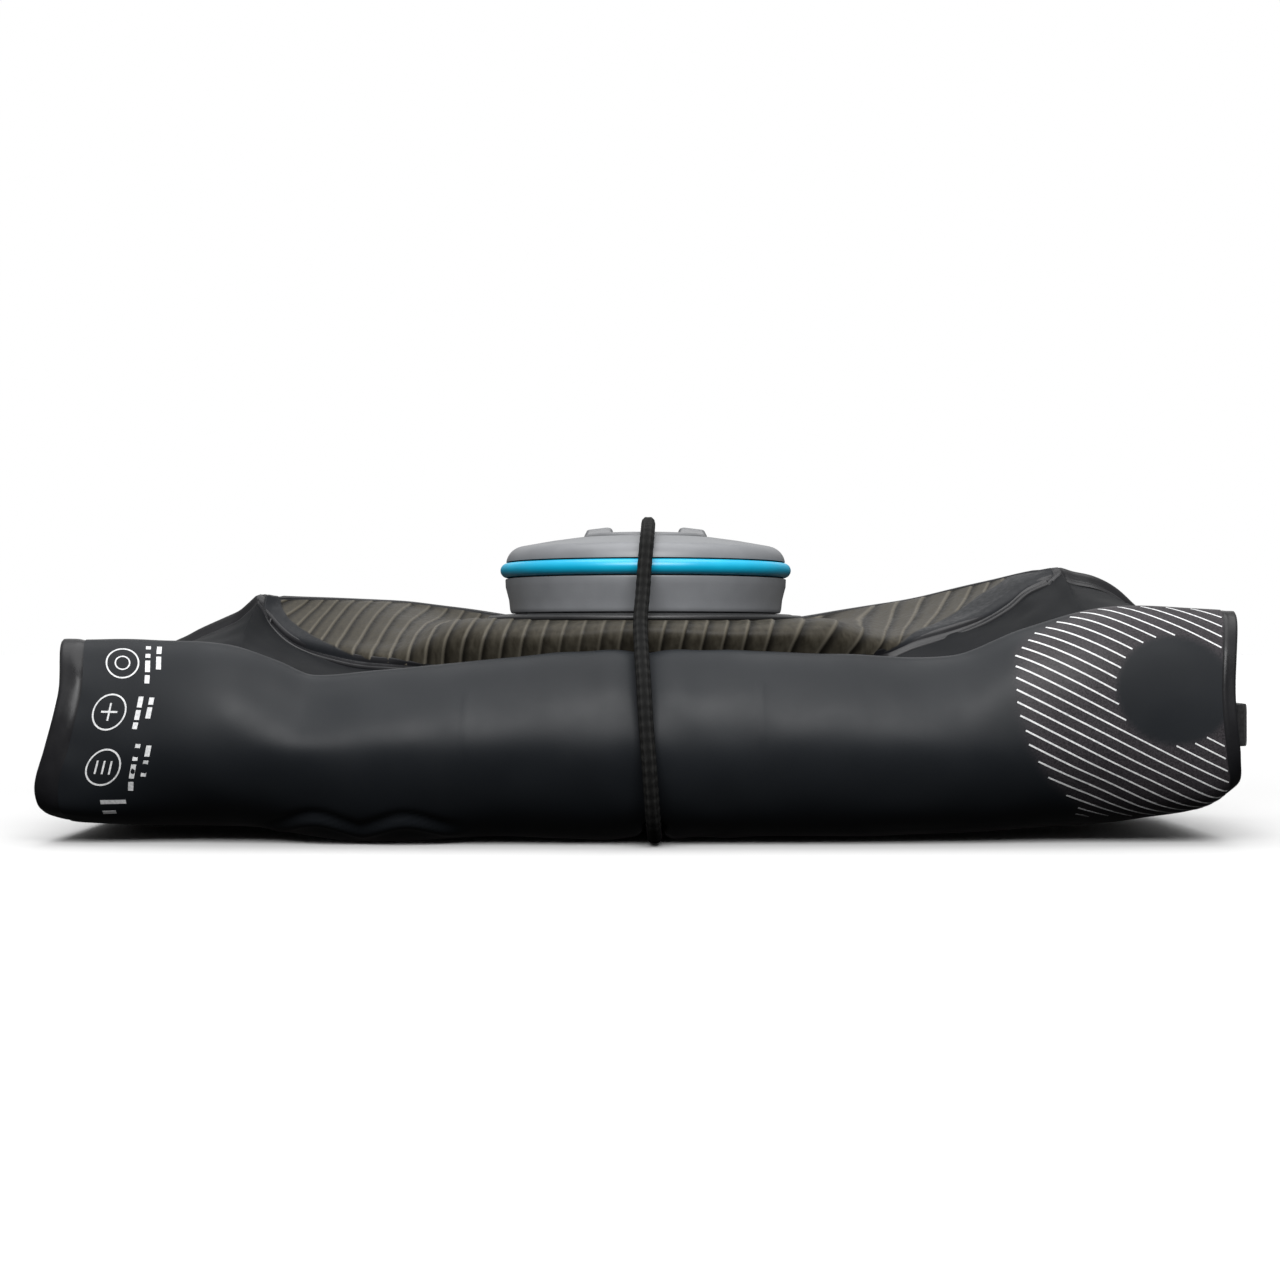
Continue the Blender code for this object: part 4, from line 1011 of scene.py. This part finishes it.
def find_on(sheet, x, z):
    """The section and distance across of the point of the front that shows at x and z."""
    front = (sheet.across > -0.002) & (sheet.across < 0.062)
    miss = np.hypot(sheet.place[:, :, 0] - x, sheet.place[:, :, 2] - z) + np.where(front, 0.0, 1.0)
    i, j = np.unravel_index(np.argmin(miss), miss.shape)
    return sheet.x[i], sheet.across[i, j]


def stripes(sheet):
    """Parallel slanting lines over the right end, with a round blank."""
    lines = []
    slope, pitch, half, step = 0.500, 0.00280, 0.00017, 0.0005
    first_x, last_x = 0.078, sheet.x[-1] - 0.0001
    x, v = find_on(sheet, 0.0823, 0.0352)
    datum = v + 0.050 - along(CREST, x) - slope * x
    for k in range(-18, 30):
        run = []
        for x in np.arange(first_x, last_x, step):
            across = datum + k * pitch + slope * x - 0.050 + along(CREST, x)
            inside = 0.0005 < across < 0.0560 and in_print(sheet.at(x, across, 0.0))
            if inside:
                run.append((x, across))
            if run and (not inside or x + step >= last_x):
                if len(run) > 5:
                    lines.append((run, half, False))
                run = []
    return lines


def circle(x, across, radius, count=44, start=0.0, end=1.0):
    turn = np.linspace(start, end, count, endpoint=end - start < 1.0) * math.tau
    return [(x + radius * math.cos(a), across + radius * math.sin(a)) for a in turn]


def marks(sheet):
    """Three plain ringed symbols and rows of plain bars in place of lettering."""
    lines = []
    for n, (x, z) in enumerate(((-0.1202, 0.0414), (-0.1216, 0.0302), (-0.1233, 0.0175))):
        u, v = find_on(sheet, x, z)
        lines.append((circle(u, v, 0.0040), 0.00019, True))
        if n == 0:
            lines.append((circle(u, v, 0.0018, 20), 0.00017, True))
        elif n == 1:
            lines += [([(u - 0.0020, v), (u + 0.0020, v)], 0.00022, False),
                      ([(u, v - 0.0020), (u, v + 0.0020)], 0.00022, False)]
        else:
            lines += [([(u - 0.0017 + s, v - 0.0015), (u - 0.0017 + s, v + 0.0015)], 0.00022, False)
                      for s in (0.0, 0.0017, 0.0034)]
    for top, bottom in ((0.0449, 0.0368), (0.0335, 0.0268), (0.0230, 0.0126)):
        for row in (0, 1):
            u, low = find_on(sheet, -0.1150 + 0.0026 * row, top)
            high = find_on(sheet, -0.1150 + 0.0026 * row, bottom)[1]
            cuts = (0.0, 0.34, 0.42, 0.72, 0.80, 1.0) if row == 0 else (0.0, 0.22, 0.30, 0.64)
            lines += [([(u, mix(low, high, a)), (u, mix(low, high, b))], 0.0006, False)
                      for a, b in zip(cuts[::2], cuts[1::2])]
    for x, z, length in ((-0.1245, 0.0098, 0.0058), (-0.1240, 0.0074, 0.0030)):
        u, v = find_on(sheet, x, z)
        lines.append(([(u, v), (u + length, v)], 0.0005, False))
    return lines


def scale_marks():
    """Graduations of the volume scale on the left wing: a curved line and a row of ticks."""
    edge = [(-0.1215, 0.0052), (-0.1165, 0.0040), (-0.1120, 0.0022)]
    lines = [([(x, along(edge, x)) for x in np.linspace(edge[0][0], edge[-1][0], 30)], 0.00014, False)]
    for n, x in enumerate(np.linspace(-0.1125, -0.1085, 6)):
        tall = 0.0034 if n % 2 else 0.0022
        lines.append(([(x, 0.0014), (x + 0.0006, 0.0014 + tall)], 0.00022, False))
    return lines


# ---------------------------------------------------------------- neck, cap and plug
def make_neck(flange_look, spout_look):
    inner, bottom = SPOUT_WALL + 0.0005, FLAT_LEVEL + FILM / 2 + 0.0001
    flange = [(inner, FLANGE_TOP), (FLANGE_R - 0.0034, FLANGE_TOP), (FLANGE_R - 0.0026, FLANGE_TOP - 0.0003),
              (FLANGE_R - 0.0008, FLANGE_TOP - 0.0003), (FLANGE_R, FLANGE_TOP - 0.0008), (FLANGE_R, bottom),
              (inner, bottom)]
    placed(turned("neck_flange_ring", flange, flange_look), "bag", "soft_black", "neck_flange")
    foot = FLAT_LEVEL - FILM / 2 - 0.0001
    spout = (wall(SPOUT_WALL, SPOUT_RIM, foot) + [(SPOUT_FOOT_R, foot), (SPOUT_FOOT_R, SPOUT_BOTTOM),
             (SPOUT_BORE, SPOUT_BOTTOM), (SPOUT_BORE, SPOUT_RIM)])
    item = turned("neck_spout_threaded", spout, spout_look, ridge=thread(0.0575, 1, SPOUT_WALL))
    placed(item, "bag", "spout_grey", "neck_spout")


def make_cap(shell_look, band_look, seal_look):
    top = ([(PLUG_R + 0.0004, 0.0717), (PLUG_R + 0.0022, 0.0718), (0.0205, 0.0714), (0.0240, 0.0709)]
           + arc(0.0303, 0.0652, 0.0045, 75, 8, 10))
    outside = [(0.03475, BAND_TOP + GAP), (GROOVE_R, BAND_TOP + GAP), (GROOVE_R, SKIRT_TOP),
               (SKIRT_TOP_R, SKIRT_TOP), (SKIRT_TOP_R - 0.0001, SKIRT_TOP - 0.0020),
               (mix(SKIRT_TOP_R, SKIRT_BOTTOM_R, 0.62), 0.0564),
               (SKIRT_BOTTOM_R + 0.0003, SKIRT_BOTTOM + 0.0008),
               (SKIRT_BOTTOM_R, SKIRT_BOTTOM)]
    inside = [(SOCKET_WALL_R, CAP_ROOF), (SOCKET_WALL_R, SOCKET_BOTTOM), (SOCKET_R, SOCKET_BOTTOM),
              (SOCKET_R, PLUG_SEAT), (PLUG_R + 0.0004, PLUG_SEAT)]
    profile = top + outside + wall(CAP_INNER_R, SKIRT_BOTTOM, CAP_ROOF) + inside
    item = turned("cap_shell_moulded", profile, shell_look, 240, thread(0.0555, -1, CAP_INNER_R))
    placed(item, "cap", "cap_grey", "cap_shell")
    half = (BAND_TOP - BAND_BOTTOM) / 2
    band = ([(GROOVE_R + 0.0001, BAND_TOP)] + arc(BAND_R - half, BAND_BOTTOM + half, half, 90, -90, 16)
            + [(GROOVE_R + 0.0001, BAND_BOTTOM)])
    placed(turned("grip_band_ring", band, band_look, 240, fillet=0.0), "cap", "band_blue", "grip_band")
    seal = [(0.0265, 0.0673), (0.0314, 0.0673), (0.0314, 0.0660), (0.0300, 0.0660), (0.0297, 0.0663),
            (0.0281, 0.0663), (0.0278, 0.0660), (0.0265, 0.0660)]
    placed(turned("cap_gasket_ring", seal, seal_look, fillet=0.0002), "cap_seal", "seal_black", "cap_gasket")


def make_lug(side, look):
    """A finger lug: its top rises a little to the middle, its edges are rounded."""
    low, high = PLUG_TOP - 0.0006, LUG_TOP
    outline = [(-0.00385, low), (-0.0030, high - 0.0006), (0.0024, high), (0.0031, high - 0.0003),
               (0.00385, low)]
    build = bmesh.new()
    rings = []
    for y, pull in ((-LUG_HALF_WIDTH, 0.90), (-0.6 * LUG_HALF_WIDTH, 1.0), (0.6 * LUG_HALF_WIDTH, 1.0),
                    (LUG_HALF_WIDTH, 0.90)):
        rings.append([build.verts.new((CAP_X + side * (-LUG_X + pull * x),
                                       CAP_Y + y * (0.86 if z > low else 1.0), z))
                      for x, z in outline])
    for a, b in zip(rings, rings[1:]):
        for i in range(5):
            build.faces.new((a[i], a[(i + 1) % 5], b[(i + 1) % 5], b[i]))
    build.faces.new(rings[0])
    build.faces.new(rings[-1][::-1])
    bmesh.ops.recalc_face_normals(build, faces=build.faces)
    mesh = bpy.data.meshes.new("lug")
    build.to_mesh(mesh)
    build.free()
    item = bpy.data.objects.new("lug", mesh)
    bpy.context.scene.collection.objects.link(item)
    bevel = item.modifiers.new("edge", "BEVEL")
    bevel.width, bevel.segments, bevel.limit_method = 0.0004, 3, "ANGLE"
    bevel.angle_limit = math.radians(20)
    mesh.materials.append(look)
    return applied(item)


def make_plug(plug_look, seal_look):
    seat = PLUG_SEAT + 0.0001
    profile = [(0.0, PLUG_TOP - 0.0001), (0.0086, PLUG_TOP - 0.0001), (0.0090, PLUG_TOP),
               (PLUG_R - 0.0007, PLUG_TOP),
               (PLUG_R, PLUG_TOP - 0.0006), (PLUG_R, seat), (PLUG_STEM_R, seat), (PLUG_STEM_R, 0.0664),
               (0.0102, 0.0664), (0.0102, 0.0640), (PLUG_STEM_R, 0.0640), (PLUG_STEM_R, 0.0586),
               (0.0090, 0.0586), (0.0090, 0.0690), (0.0, 0.0690)]
    item = turned("port_plug_moulded", profile, plug_look, closed=False)
    ears = joined_boxes("ears", [((0.0030, 0.0060, 0.0013), (CAP_X + side * 0.0123, CAP_Y, 0.05925))
                                 for side in (-1, 1)], plug_look, 0.0002)
    for other in (make_lug(1, plug_look), make_lug(-1, plug_look), applied(ears)):
        union = item.modifiers.new("union", "BOOLEAN")
        union.operation, union.solver, union.object = "UNION", "EXACT", other
        applied(item)
        bpy.data.objects.remove(other, do_unlink=True)
    item.data.shade_smooth()
    item.data.set_sharp_from_angle(angle=math.radians(35))
    placed(item, "plug", "plug_grey", "port_plug")
    pad = [(0.0, PLUG_TOP + 0.00035), (0.0066, PLUG_TOP + 0.00035), (0.0071, PLUG_TOP - 0.0002),
           (0.0, PLUG_TOP - 0.0002)]
    placed(turned("plug_pad", pad, seal_look, 96, closed=False, fillet=0.0001), "plug", "seal_black")
    ring = arc(0.0111, 0.0652, 0.00088, 180, -180, 20)[:-1]
    placed(turned("plug_seal_ring", ring, seal_look, 128, fillet=0.0), "plug", "seal_black", "plug_oring")


# ---------------------------------------------------------------- elastic cord and trim
def cord_route():
    """Places along the elastic loop's middle, from the ferrule up and round to it again."""
    return [(0.0030, 0.0538, 0.0245), (0.0030, 0.0538, 0.0300), (0.0029, 0.0530, 0.0370),
            (0.0027, 0.0510, 0.0450), (0.0025, 0.0478, 0.0525), (0.0024, 0.0420, 0.0592),
            (0.0023, 0.0388, 0.0645), (0.0022, 0.0356, 0.0697), (0.0021, 0.0270, 0.0731),
            (0.0020, 0.0150, 0.0748), (0.0020, 0.0000, 0.0749), (0.0020, -0.0150, 0.0748),
            (0.0019, -0.0270, 0.0731), (0.0016, -0.0356, 0.0697), (0.0011, -0.0388, 0.0640),
            (0.0006, -0.0418, 0.0570), (0.0001, -0.0462, 0.0508), (0.0003, -0.0520, 0.0448),
            (0.0008, -0.0577, 0.0370), (0.0014, -0.0607, 0.0270), (0.0022, -0.0608, 0.0165),
            (0.0029, -0.0566, 0.0066), (0.0033, -0.0490, 0.0023), (0.0034, -0.0380, 0.0019),
            (0.0034, 0.0100, 0.0019), (0.0034, 0.0395, 0.0019), (0.0033, 0.0470, 0.0041),
            (0.0031, 0.0525, 0.0103), (0.0030, 0.0538, 0.0180), (0.0030, 0.0538, 0.0235)]


def cord_line():
    """Close points along the elastic's middle."""
    route = np.array(cord_route()) + (BAG_X, CAP_Y, 0.0)
    dense = spline(route, 12)
    total = lengths(dense)[-1]
    line = read(dense, np.linspace(0.0, total, round(total / 0.00038)))
    line[:, 2] = np.maximum(line[:, 2], CORD_R + 0.0002)
    return line


def make_cord(look):
    line, sides = cord_line(), 40
    run = lengths(line)
    step = np.gradient(line, axis=0)
    step = step / np.linalg.norm(step, axis=1, keepdims=True)
    across = np.array((1.0, 0.0, 0.0)) - step * step[:, :1]
    across = across / np.linalg.norm(across, axis=1, keepdims=True)
    out = np.cross(across, step)
    angle = np.arange(sides) * math.tau / sides
    a, s = np.meshgrid(angle, run)
    strands, lap = 6, math.tau * s / CORD_TURN
    over = np.cos(strands * a + lap / 2) * np.cos(strands * a - lap / 2)
    valley = bump_at(abs(np.sin(a / 1.0)), 0.0, 0.24) * (abs(np.cos(a)) > 0.5)
    radius = CORD_R * (0.965 + 0.040 * over - 0.13 * valley)
    ring = (np.cos(a)[:, :, None] * out[:, None, :] + np.sin(a)[:, :, None] * across[:, None, :])
    place = line[:, None, :] + radius[:, :, None] * ring
    # Braid colour mask: painted highlight on the raised strands, painted shade in the two lengthwise grooves.
    strand_light_and_shade = np.clip(0.55 + 0.55 * over, 0.0, 1.0) * (1.0 - 0.9 * valley)
    count = len(line)
    index = np.arange(count * sides).reshape(count, sides)
    index = np.hstack([index, index[:, :1]])
    faces = grid_quads(index).tolist()
    faces += [list(range(sides))[::-1], [(count - 1) * sides + k for k in range(sides)]]
    item = mesh_object("shock_cord_braid", place.reshape(-1, 3), faces, look, 80.0,
                       [("strand_light_and_shade", strand_light_and_shade.ravel())])
    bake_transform(item)
    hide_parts("shock_cord")
    return item, line


def make_ferrule(look):
    """Crimped tube: three pressed waists round it."""
    low, high, outer = 0.0180, 0.0300, 0.0027
    waists = [low + share * (high - low) for share in (0.25, 0.5, 0.75)]
    def crimp(angle, r, z):
        dents = sum(bump_at(z, waist, 0.0007) for waist in waists)
        return np.where(r > CORD_R + 0.0005, -0.00022 * dents * (0.6 + 0.4 * np.cos(6 * angle)), 0.0)
    profile = wall(outer, high, low, 0.0003) + [(CORD_R + 0.0001, low), (CORD_R + 0.0001, high)]
    item = turned("cord_ferrule_crimped", profile, look, 72, crimp, (BAG_X + 0.0030, CAP_Y + 0.0538), 0.0002)
    placed(item, "bag", "ferrule_metal", "cord_ferrule")


def tape(name, centre, width_axis, width, thick, look):
    """Woven tape: a flat band with rounded edges along a centre line, ribbed across."""
    line = spline(centre, 10)
    run = lengths(line)
    line = read(line, np.arange(0.0, run[-1], 0.00035))
    step = np.gradient(line, axis=0)
    step = step / np.linalg.norm(step, axis=1, keepdims=True)
    wide = np.array(width_axis, float)
    out = np.cross(step, wide)
    turn = np.arange(28) * math.tau / 28
    flat = np.sign(np.cos(turn)) * np.abs(np.cos(turn)) ** 0.35 * width / 2
    tall = np.sign(np.sin(turn)) * np.abs(np.sin(turn)) ** 0.5 * thick / 2
    rib = 1.0 + 0.10 * np.sin(np.arange(len(line)) * math.tau / 3.2)[:, None] * np.abs(np.sin(turn))[None, :]
    place = (line[:, None, :] + wide * flat[None, :, None] + out[:, None, :] * (tall * rib)[:, :, None])
    count = len(line)
    index = np.arange(count * 28).reshape(count, 28)
    index = np.hstack([index, index[:, :1]])
    faces = grid_quads(index).tolist()
    faces += [list(range(28))[::-1], [(count - 1) * 28 + k for k in range(28)]]
    return mesh_object(name, place.reshape(-1, 3), faces, look, 50.0)


def make_keeper(look):
    """Bridge of tape at the back that keeps the elastic on the bag."""
    x, y, z = BAG_X + 0.0029, CAP_Y + 0.0507, 0.0370
    half, foot = CORD_R + 0.0007 + WEBBING / 2, 0.0088
    path = [(-foot, 0.0006), (-half - 0.0030, 0.0007), (-half - 0.0002, 0.0014), (-half, 0.0034),
            (-0.5 * half, 0.0051), (0.5 * half, 0.0051), (half, 0.0034), (half + 0.0002, 0.0014),
            (half + 0.0030, 0.0007), (foot, 0.0006)]
    item = tape("cord_keeper_tape", [(x + a, y + b, z) for a, b in path], (0.0, 0.0, 1.0), 0.0080,
                WEBBING, look)
    placed(item, "bag", "webbing_black", "cord_keeper")
    rows = [(x + side * (foot - 0.0014 * k), y + 0.0013, z + 0.0030 * row)
            for side in (-1, 1) for k in (0.6, 2.2) for row in (-1, -0.33, 0.33, 1)]
    stitches = joined_boxes("keeper_stitches", [((0.0003, 0.00025, 0.0014), at) for at in rows], look, 0.0001)
    placed(stitches, "bag", "webbing_black")


def make_lash(patch_look, loop_look):
    """Welded patch with a pressed rim, and the tape loop that swings from it."""
    patch_at = (BAG_X + PATCH_X, CAP_Y - 0.0050, LOOP_Z)
    boxes = [((0.0010, 0.0150, 0.0130), (patch_at[0] - 0.0001, patch_at[1], patch_at[2])),
             ((0.0012, 0.0134, 0.0012), (patch_at[0], patch_at[1], patch_at[2] + 0.0055)),
             ((0.0012, 0.0134, 0.0012), (patch_at[0], patch_at[1], patch_at[2] - 0.0055))]
    placed(joined_boxes("lash_patch_pressed", boxes, patch_look, 0.00025, 3), "bag", "soft_black",
           "lash_patch")
    slit, length = 0.0008, 0.0240
    middle = slit + WEBBING / 2
    x, y = BAG_X + PATCH_X + 0.0006 + GAP + slit + WEBBING, CAP_Y - 0.0040
    turn = [math.radians(180 * k / 6) for k in range(7)]
    path = ([(-middle, -0.0001), (-middle, -0.012)]
            + [(-middle * math.cos(t), -length - middle * math.sin(t)) for t in turn]
            + [(middle, -0.012), (middle, -0.0001)])
    item = tape("lash_loop_tape", [(x + a, y + b, LOOP_Z) for a, b in path], (0.0, 0.0, 1.0),
                LOOP_WIDTH, WEBBING, loop_look)
    placed(item, "lash", "webbing_black", "lash_loop")
    bars = [((2 * (slit + WEBBING) + 0.0002, 0.0004, 0.0013),
             (x, y - 0.0016 - 0.0014 * row, LOOP_Z + 0.0018 * k))
            for row in (0, 1) for k in (-2, -1, 0, 1, 2)]
    placed(joined_boxes("lash_stitches", bars, loop_look, 0.0001), "lash", "webbing_black")


# ---------------------------------------------------------------- studio
def add_camera():
    data = bpy.data.cameras.new("camera")
    data.lens, data.sensor_width = LENS, 36.0
    item = bpy.data.objects.new("camera", data)
    item.location = (BAG_X, CAP_Y - CAMERA_BACK, CAMERA_HEIGHT)
    item.rotation_euler = (math.radians(90), 0.0, 0.0)
    bpy.context.scene.collection.objects.link(item)
    bpy.context.scene.camera = item


def add_area(name, place, aim, size, power):
    data = bpy.data.lights.new(name, "AREA")
    data.shape, data.size, data.size_y, data.energy = "RECTANGLE", size[0], size[1], power
    item = bpy.data.objects.new(name, data)
    item.location = place
    item.rotation_euler = (Vector(aim) - Vector(place)).to_track_quat("-Z", "Y").to_euler()
    bpy.context.scene.collection.objects.link(item)


def add_studio():
    scene = bpy.context.scene
    scene.view_settings.view_transform = "Standard"
    world = bpy.data.worlds.new("studio")
    scene.world = world
    world.use_nodes = True
    tree = world.node_tree
    background = tree.nodes["Background"]
    way = tree.nodes.new("ShaderNodeSeparateXYZ")
    tree.links.new(tree.nodes.new("ShaderNodeTexCoord").outputs["Generated"], way.inputs["Vector"])
    room = tree.nodes.new("ShaderNodeMapRange")
    for label, number in (("From Min", -0.05), ("From Max", 0.60), ("To Min", 0.02), ("To Max", 0.50)):
        room.inputs[label].default_value = number
    tree.links.new(way.outputs["Z"], room.inputs["Value"])
    seen = tree.nodes.new("ShaderNodeLightPath")
    strength = tree.nodes.new("ShaderNodeMix")
    strength.inputs["B"].default_value = 1.0
    tree.links.new(seen.outputs["Is Camera Ray"], strength.inputs["Factor"])
    tree.links.new(room.outputs["Result"], strength.inputs["A"])
    tree.links.new(strength.outputs["Result"], background.inputs["Strength"])
    background.inputs["Color"].default_value = (1.0, 1.0, 1.0, 1.0)
    sun = bpy.data.lights.new("overhead", "SUN")
    sun.energy, sun.angle = 1.9, math.radians(60)
    item = bpy.data.objects.new("overhead", sun)
    item.rotation_euler = (math.radians(-3), 0.0, 0.0)
    scene.collection.objects.link(item)
    add_area("front_softbox", (0.0, -0.74, 0.60), (0.0, 0.0, 0.03), (0.9, 0.50), 12.0)
    add_area("rear_softbox", (0.0, 0.95, 0.55), (0.0, 0.0, 0.03), (1.1, 0.40), 0.8)


def add_floor():
    """Plain pale sweep, whiter away from the object."""
    made, tree, shader, where = new_material("pale_floor", (0.62, 0.62, 0.62), 0.85, specular=0.1)
    away = tree.nodes.new("ShaderNodeVectorMath")
    away.operation = "LENGTH"
    tree.links.new(where, away.inputs[0])
    near = ramp_node(tree, noise_node(tree, where, 0.25, 2.0), (0.61, 0.61, 0.61), (0.63, 0.63, 0.63))
    share = ramp_node(tree, away.outputs["Value"], 0.0, 1.0, 0.22, 0.90)
    tree.links.new(colour_mix(tree, share, near, (1.0, 1.0, 1.0)), shader.inputs["Base Color"])
    mesh = bpy.data.meshes.new("floor")
    build = bmesh.new()
    bmesh.ops.create_grid(build, x_segments=2, y_segments=2, size=6.0)
    build.to_mesh(mesh)
    build.free()
    mesh.materials.append(made)
    item = bpy.data.objects.new("floor", mesh)
    bpy.context.scene.collection.objects.link(item)
    item.visible_glossy = False
    item.visible_diffuse = False


def main():
    add_camera()
    braid = braid_look()
    cord, line = make_cord(braid)

    front_look = film_look("front_film_look", (0.0075, 0.0088, 0.0108), (0.0118, 0.0136, 0.0162),
                           0.45, 0.20, True)
    # The back ply is the same film as the front, coloured darker: painted shade for the inner ply's faces.
    shaded_back_look = film_look("back_film_shaded_look", (0.0042, 0.0048, 0.0058), (0.0070, 0.0077, 0.0090), 0.52, 0.08)
    weld, ink, webbing = weld_look(), ink_look(), webbing_look()
    soft_black = moulded_look("soft_black_look", (0.006, 0.006, 0.0065), (0.012, 0.012, 0.013), 0.42,
                              0.0005, 0.12)
    spout_grey = moulded_look("spout_grey_look", (0.17, 0.18, 0.19), (0.22, 0.23, 0.24), 0.40, 0.0006, 0.08)
    cap_grey = moulded_look("cap_grey_look", (0.150, 0.155, 0.164), (0.180, 0.186, 0.196), 0.40,
                            0.00045, 0.14)
    plug_grey = moulded_look("plug_grey_look", (0.125, 0.128, 0.134), (0.150, 0.153, 0.160), 0.42,
                             0.00045, 0.14)
    blue = moulded_look("band_blue_look", (0.001, 0.330, 0.540), (0.002, 0.390, 0.610), 0.34,
                        0.0008, 0.05, 0.5,
                        0.15, 0.08)
    seal = moulded_look("seal_black_look", (0.008, 0.008, 0.009), (0.014, 0.014, 0.015), 0.50, 0.0005, 0.10)

    front = make_front_panel(front_look)
    back = make_back_panel(shaded_back_look)
    make_side_weld("side_band_left", "side_weld_left", -1, WELD_LEFT, weld)
    make_side_weld("side_band_right", "side_weld_right", 1, WELD_RIGHT, weld)
    make_gusset_weld_front(weld)
    make_gusset_weld_rear(weld)
    make_bottom_weld(weld)
    make_top_gusset(ribbed_look())
    ink_mesh("printed_stripes", front, stripes(front), ink)
    ink_mesh("printed_marks", front, marks(front), ink)
    ink_mesh("printed_scale", back, scale_marks(), ink)
    make_neck(soft_black, spout_grey)
    make_cap(cap_grey, blue, seal)
    make_plug(plug_grey, seal)
    make_ferrule(metal_look())
    make_keeper(webbing)
    make_lash(soft_black, webbing)

    add_studio()
    add_floor()


main()
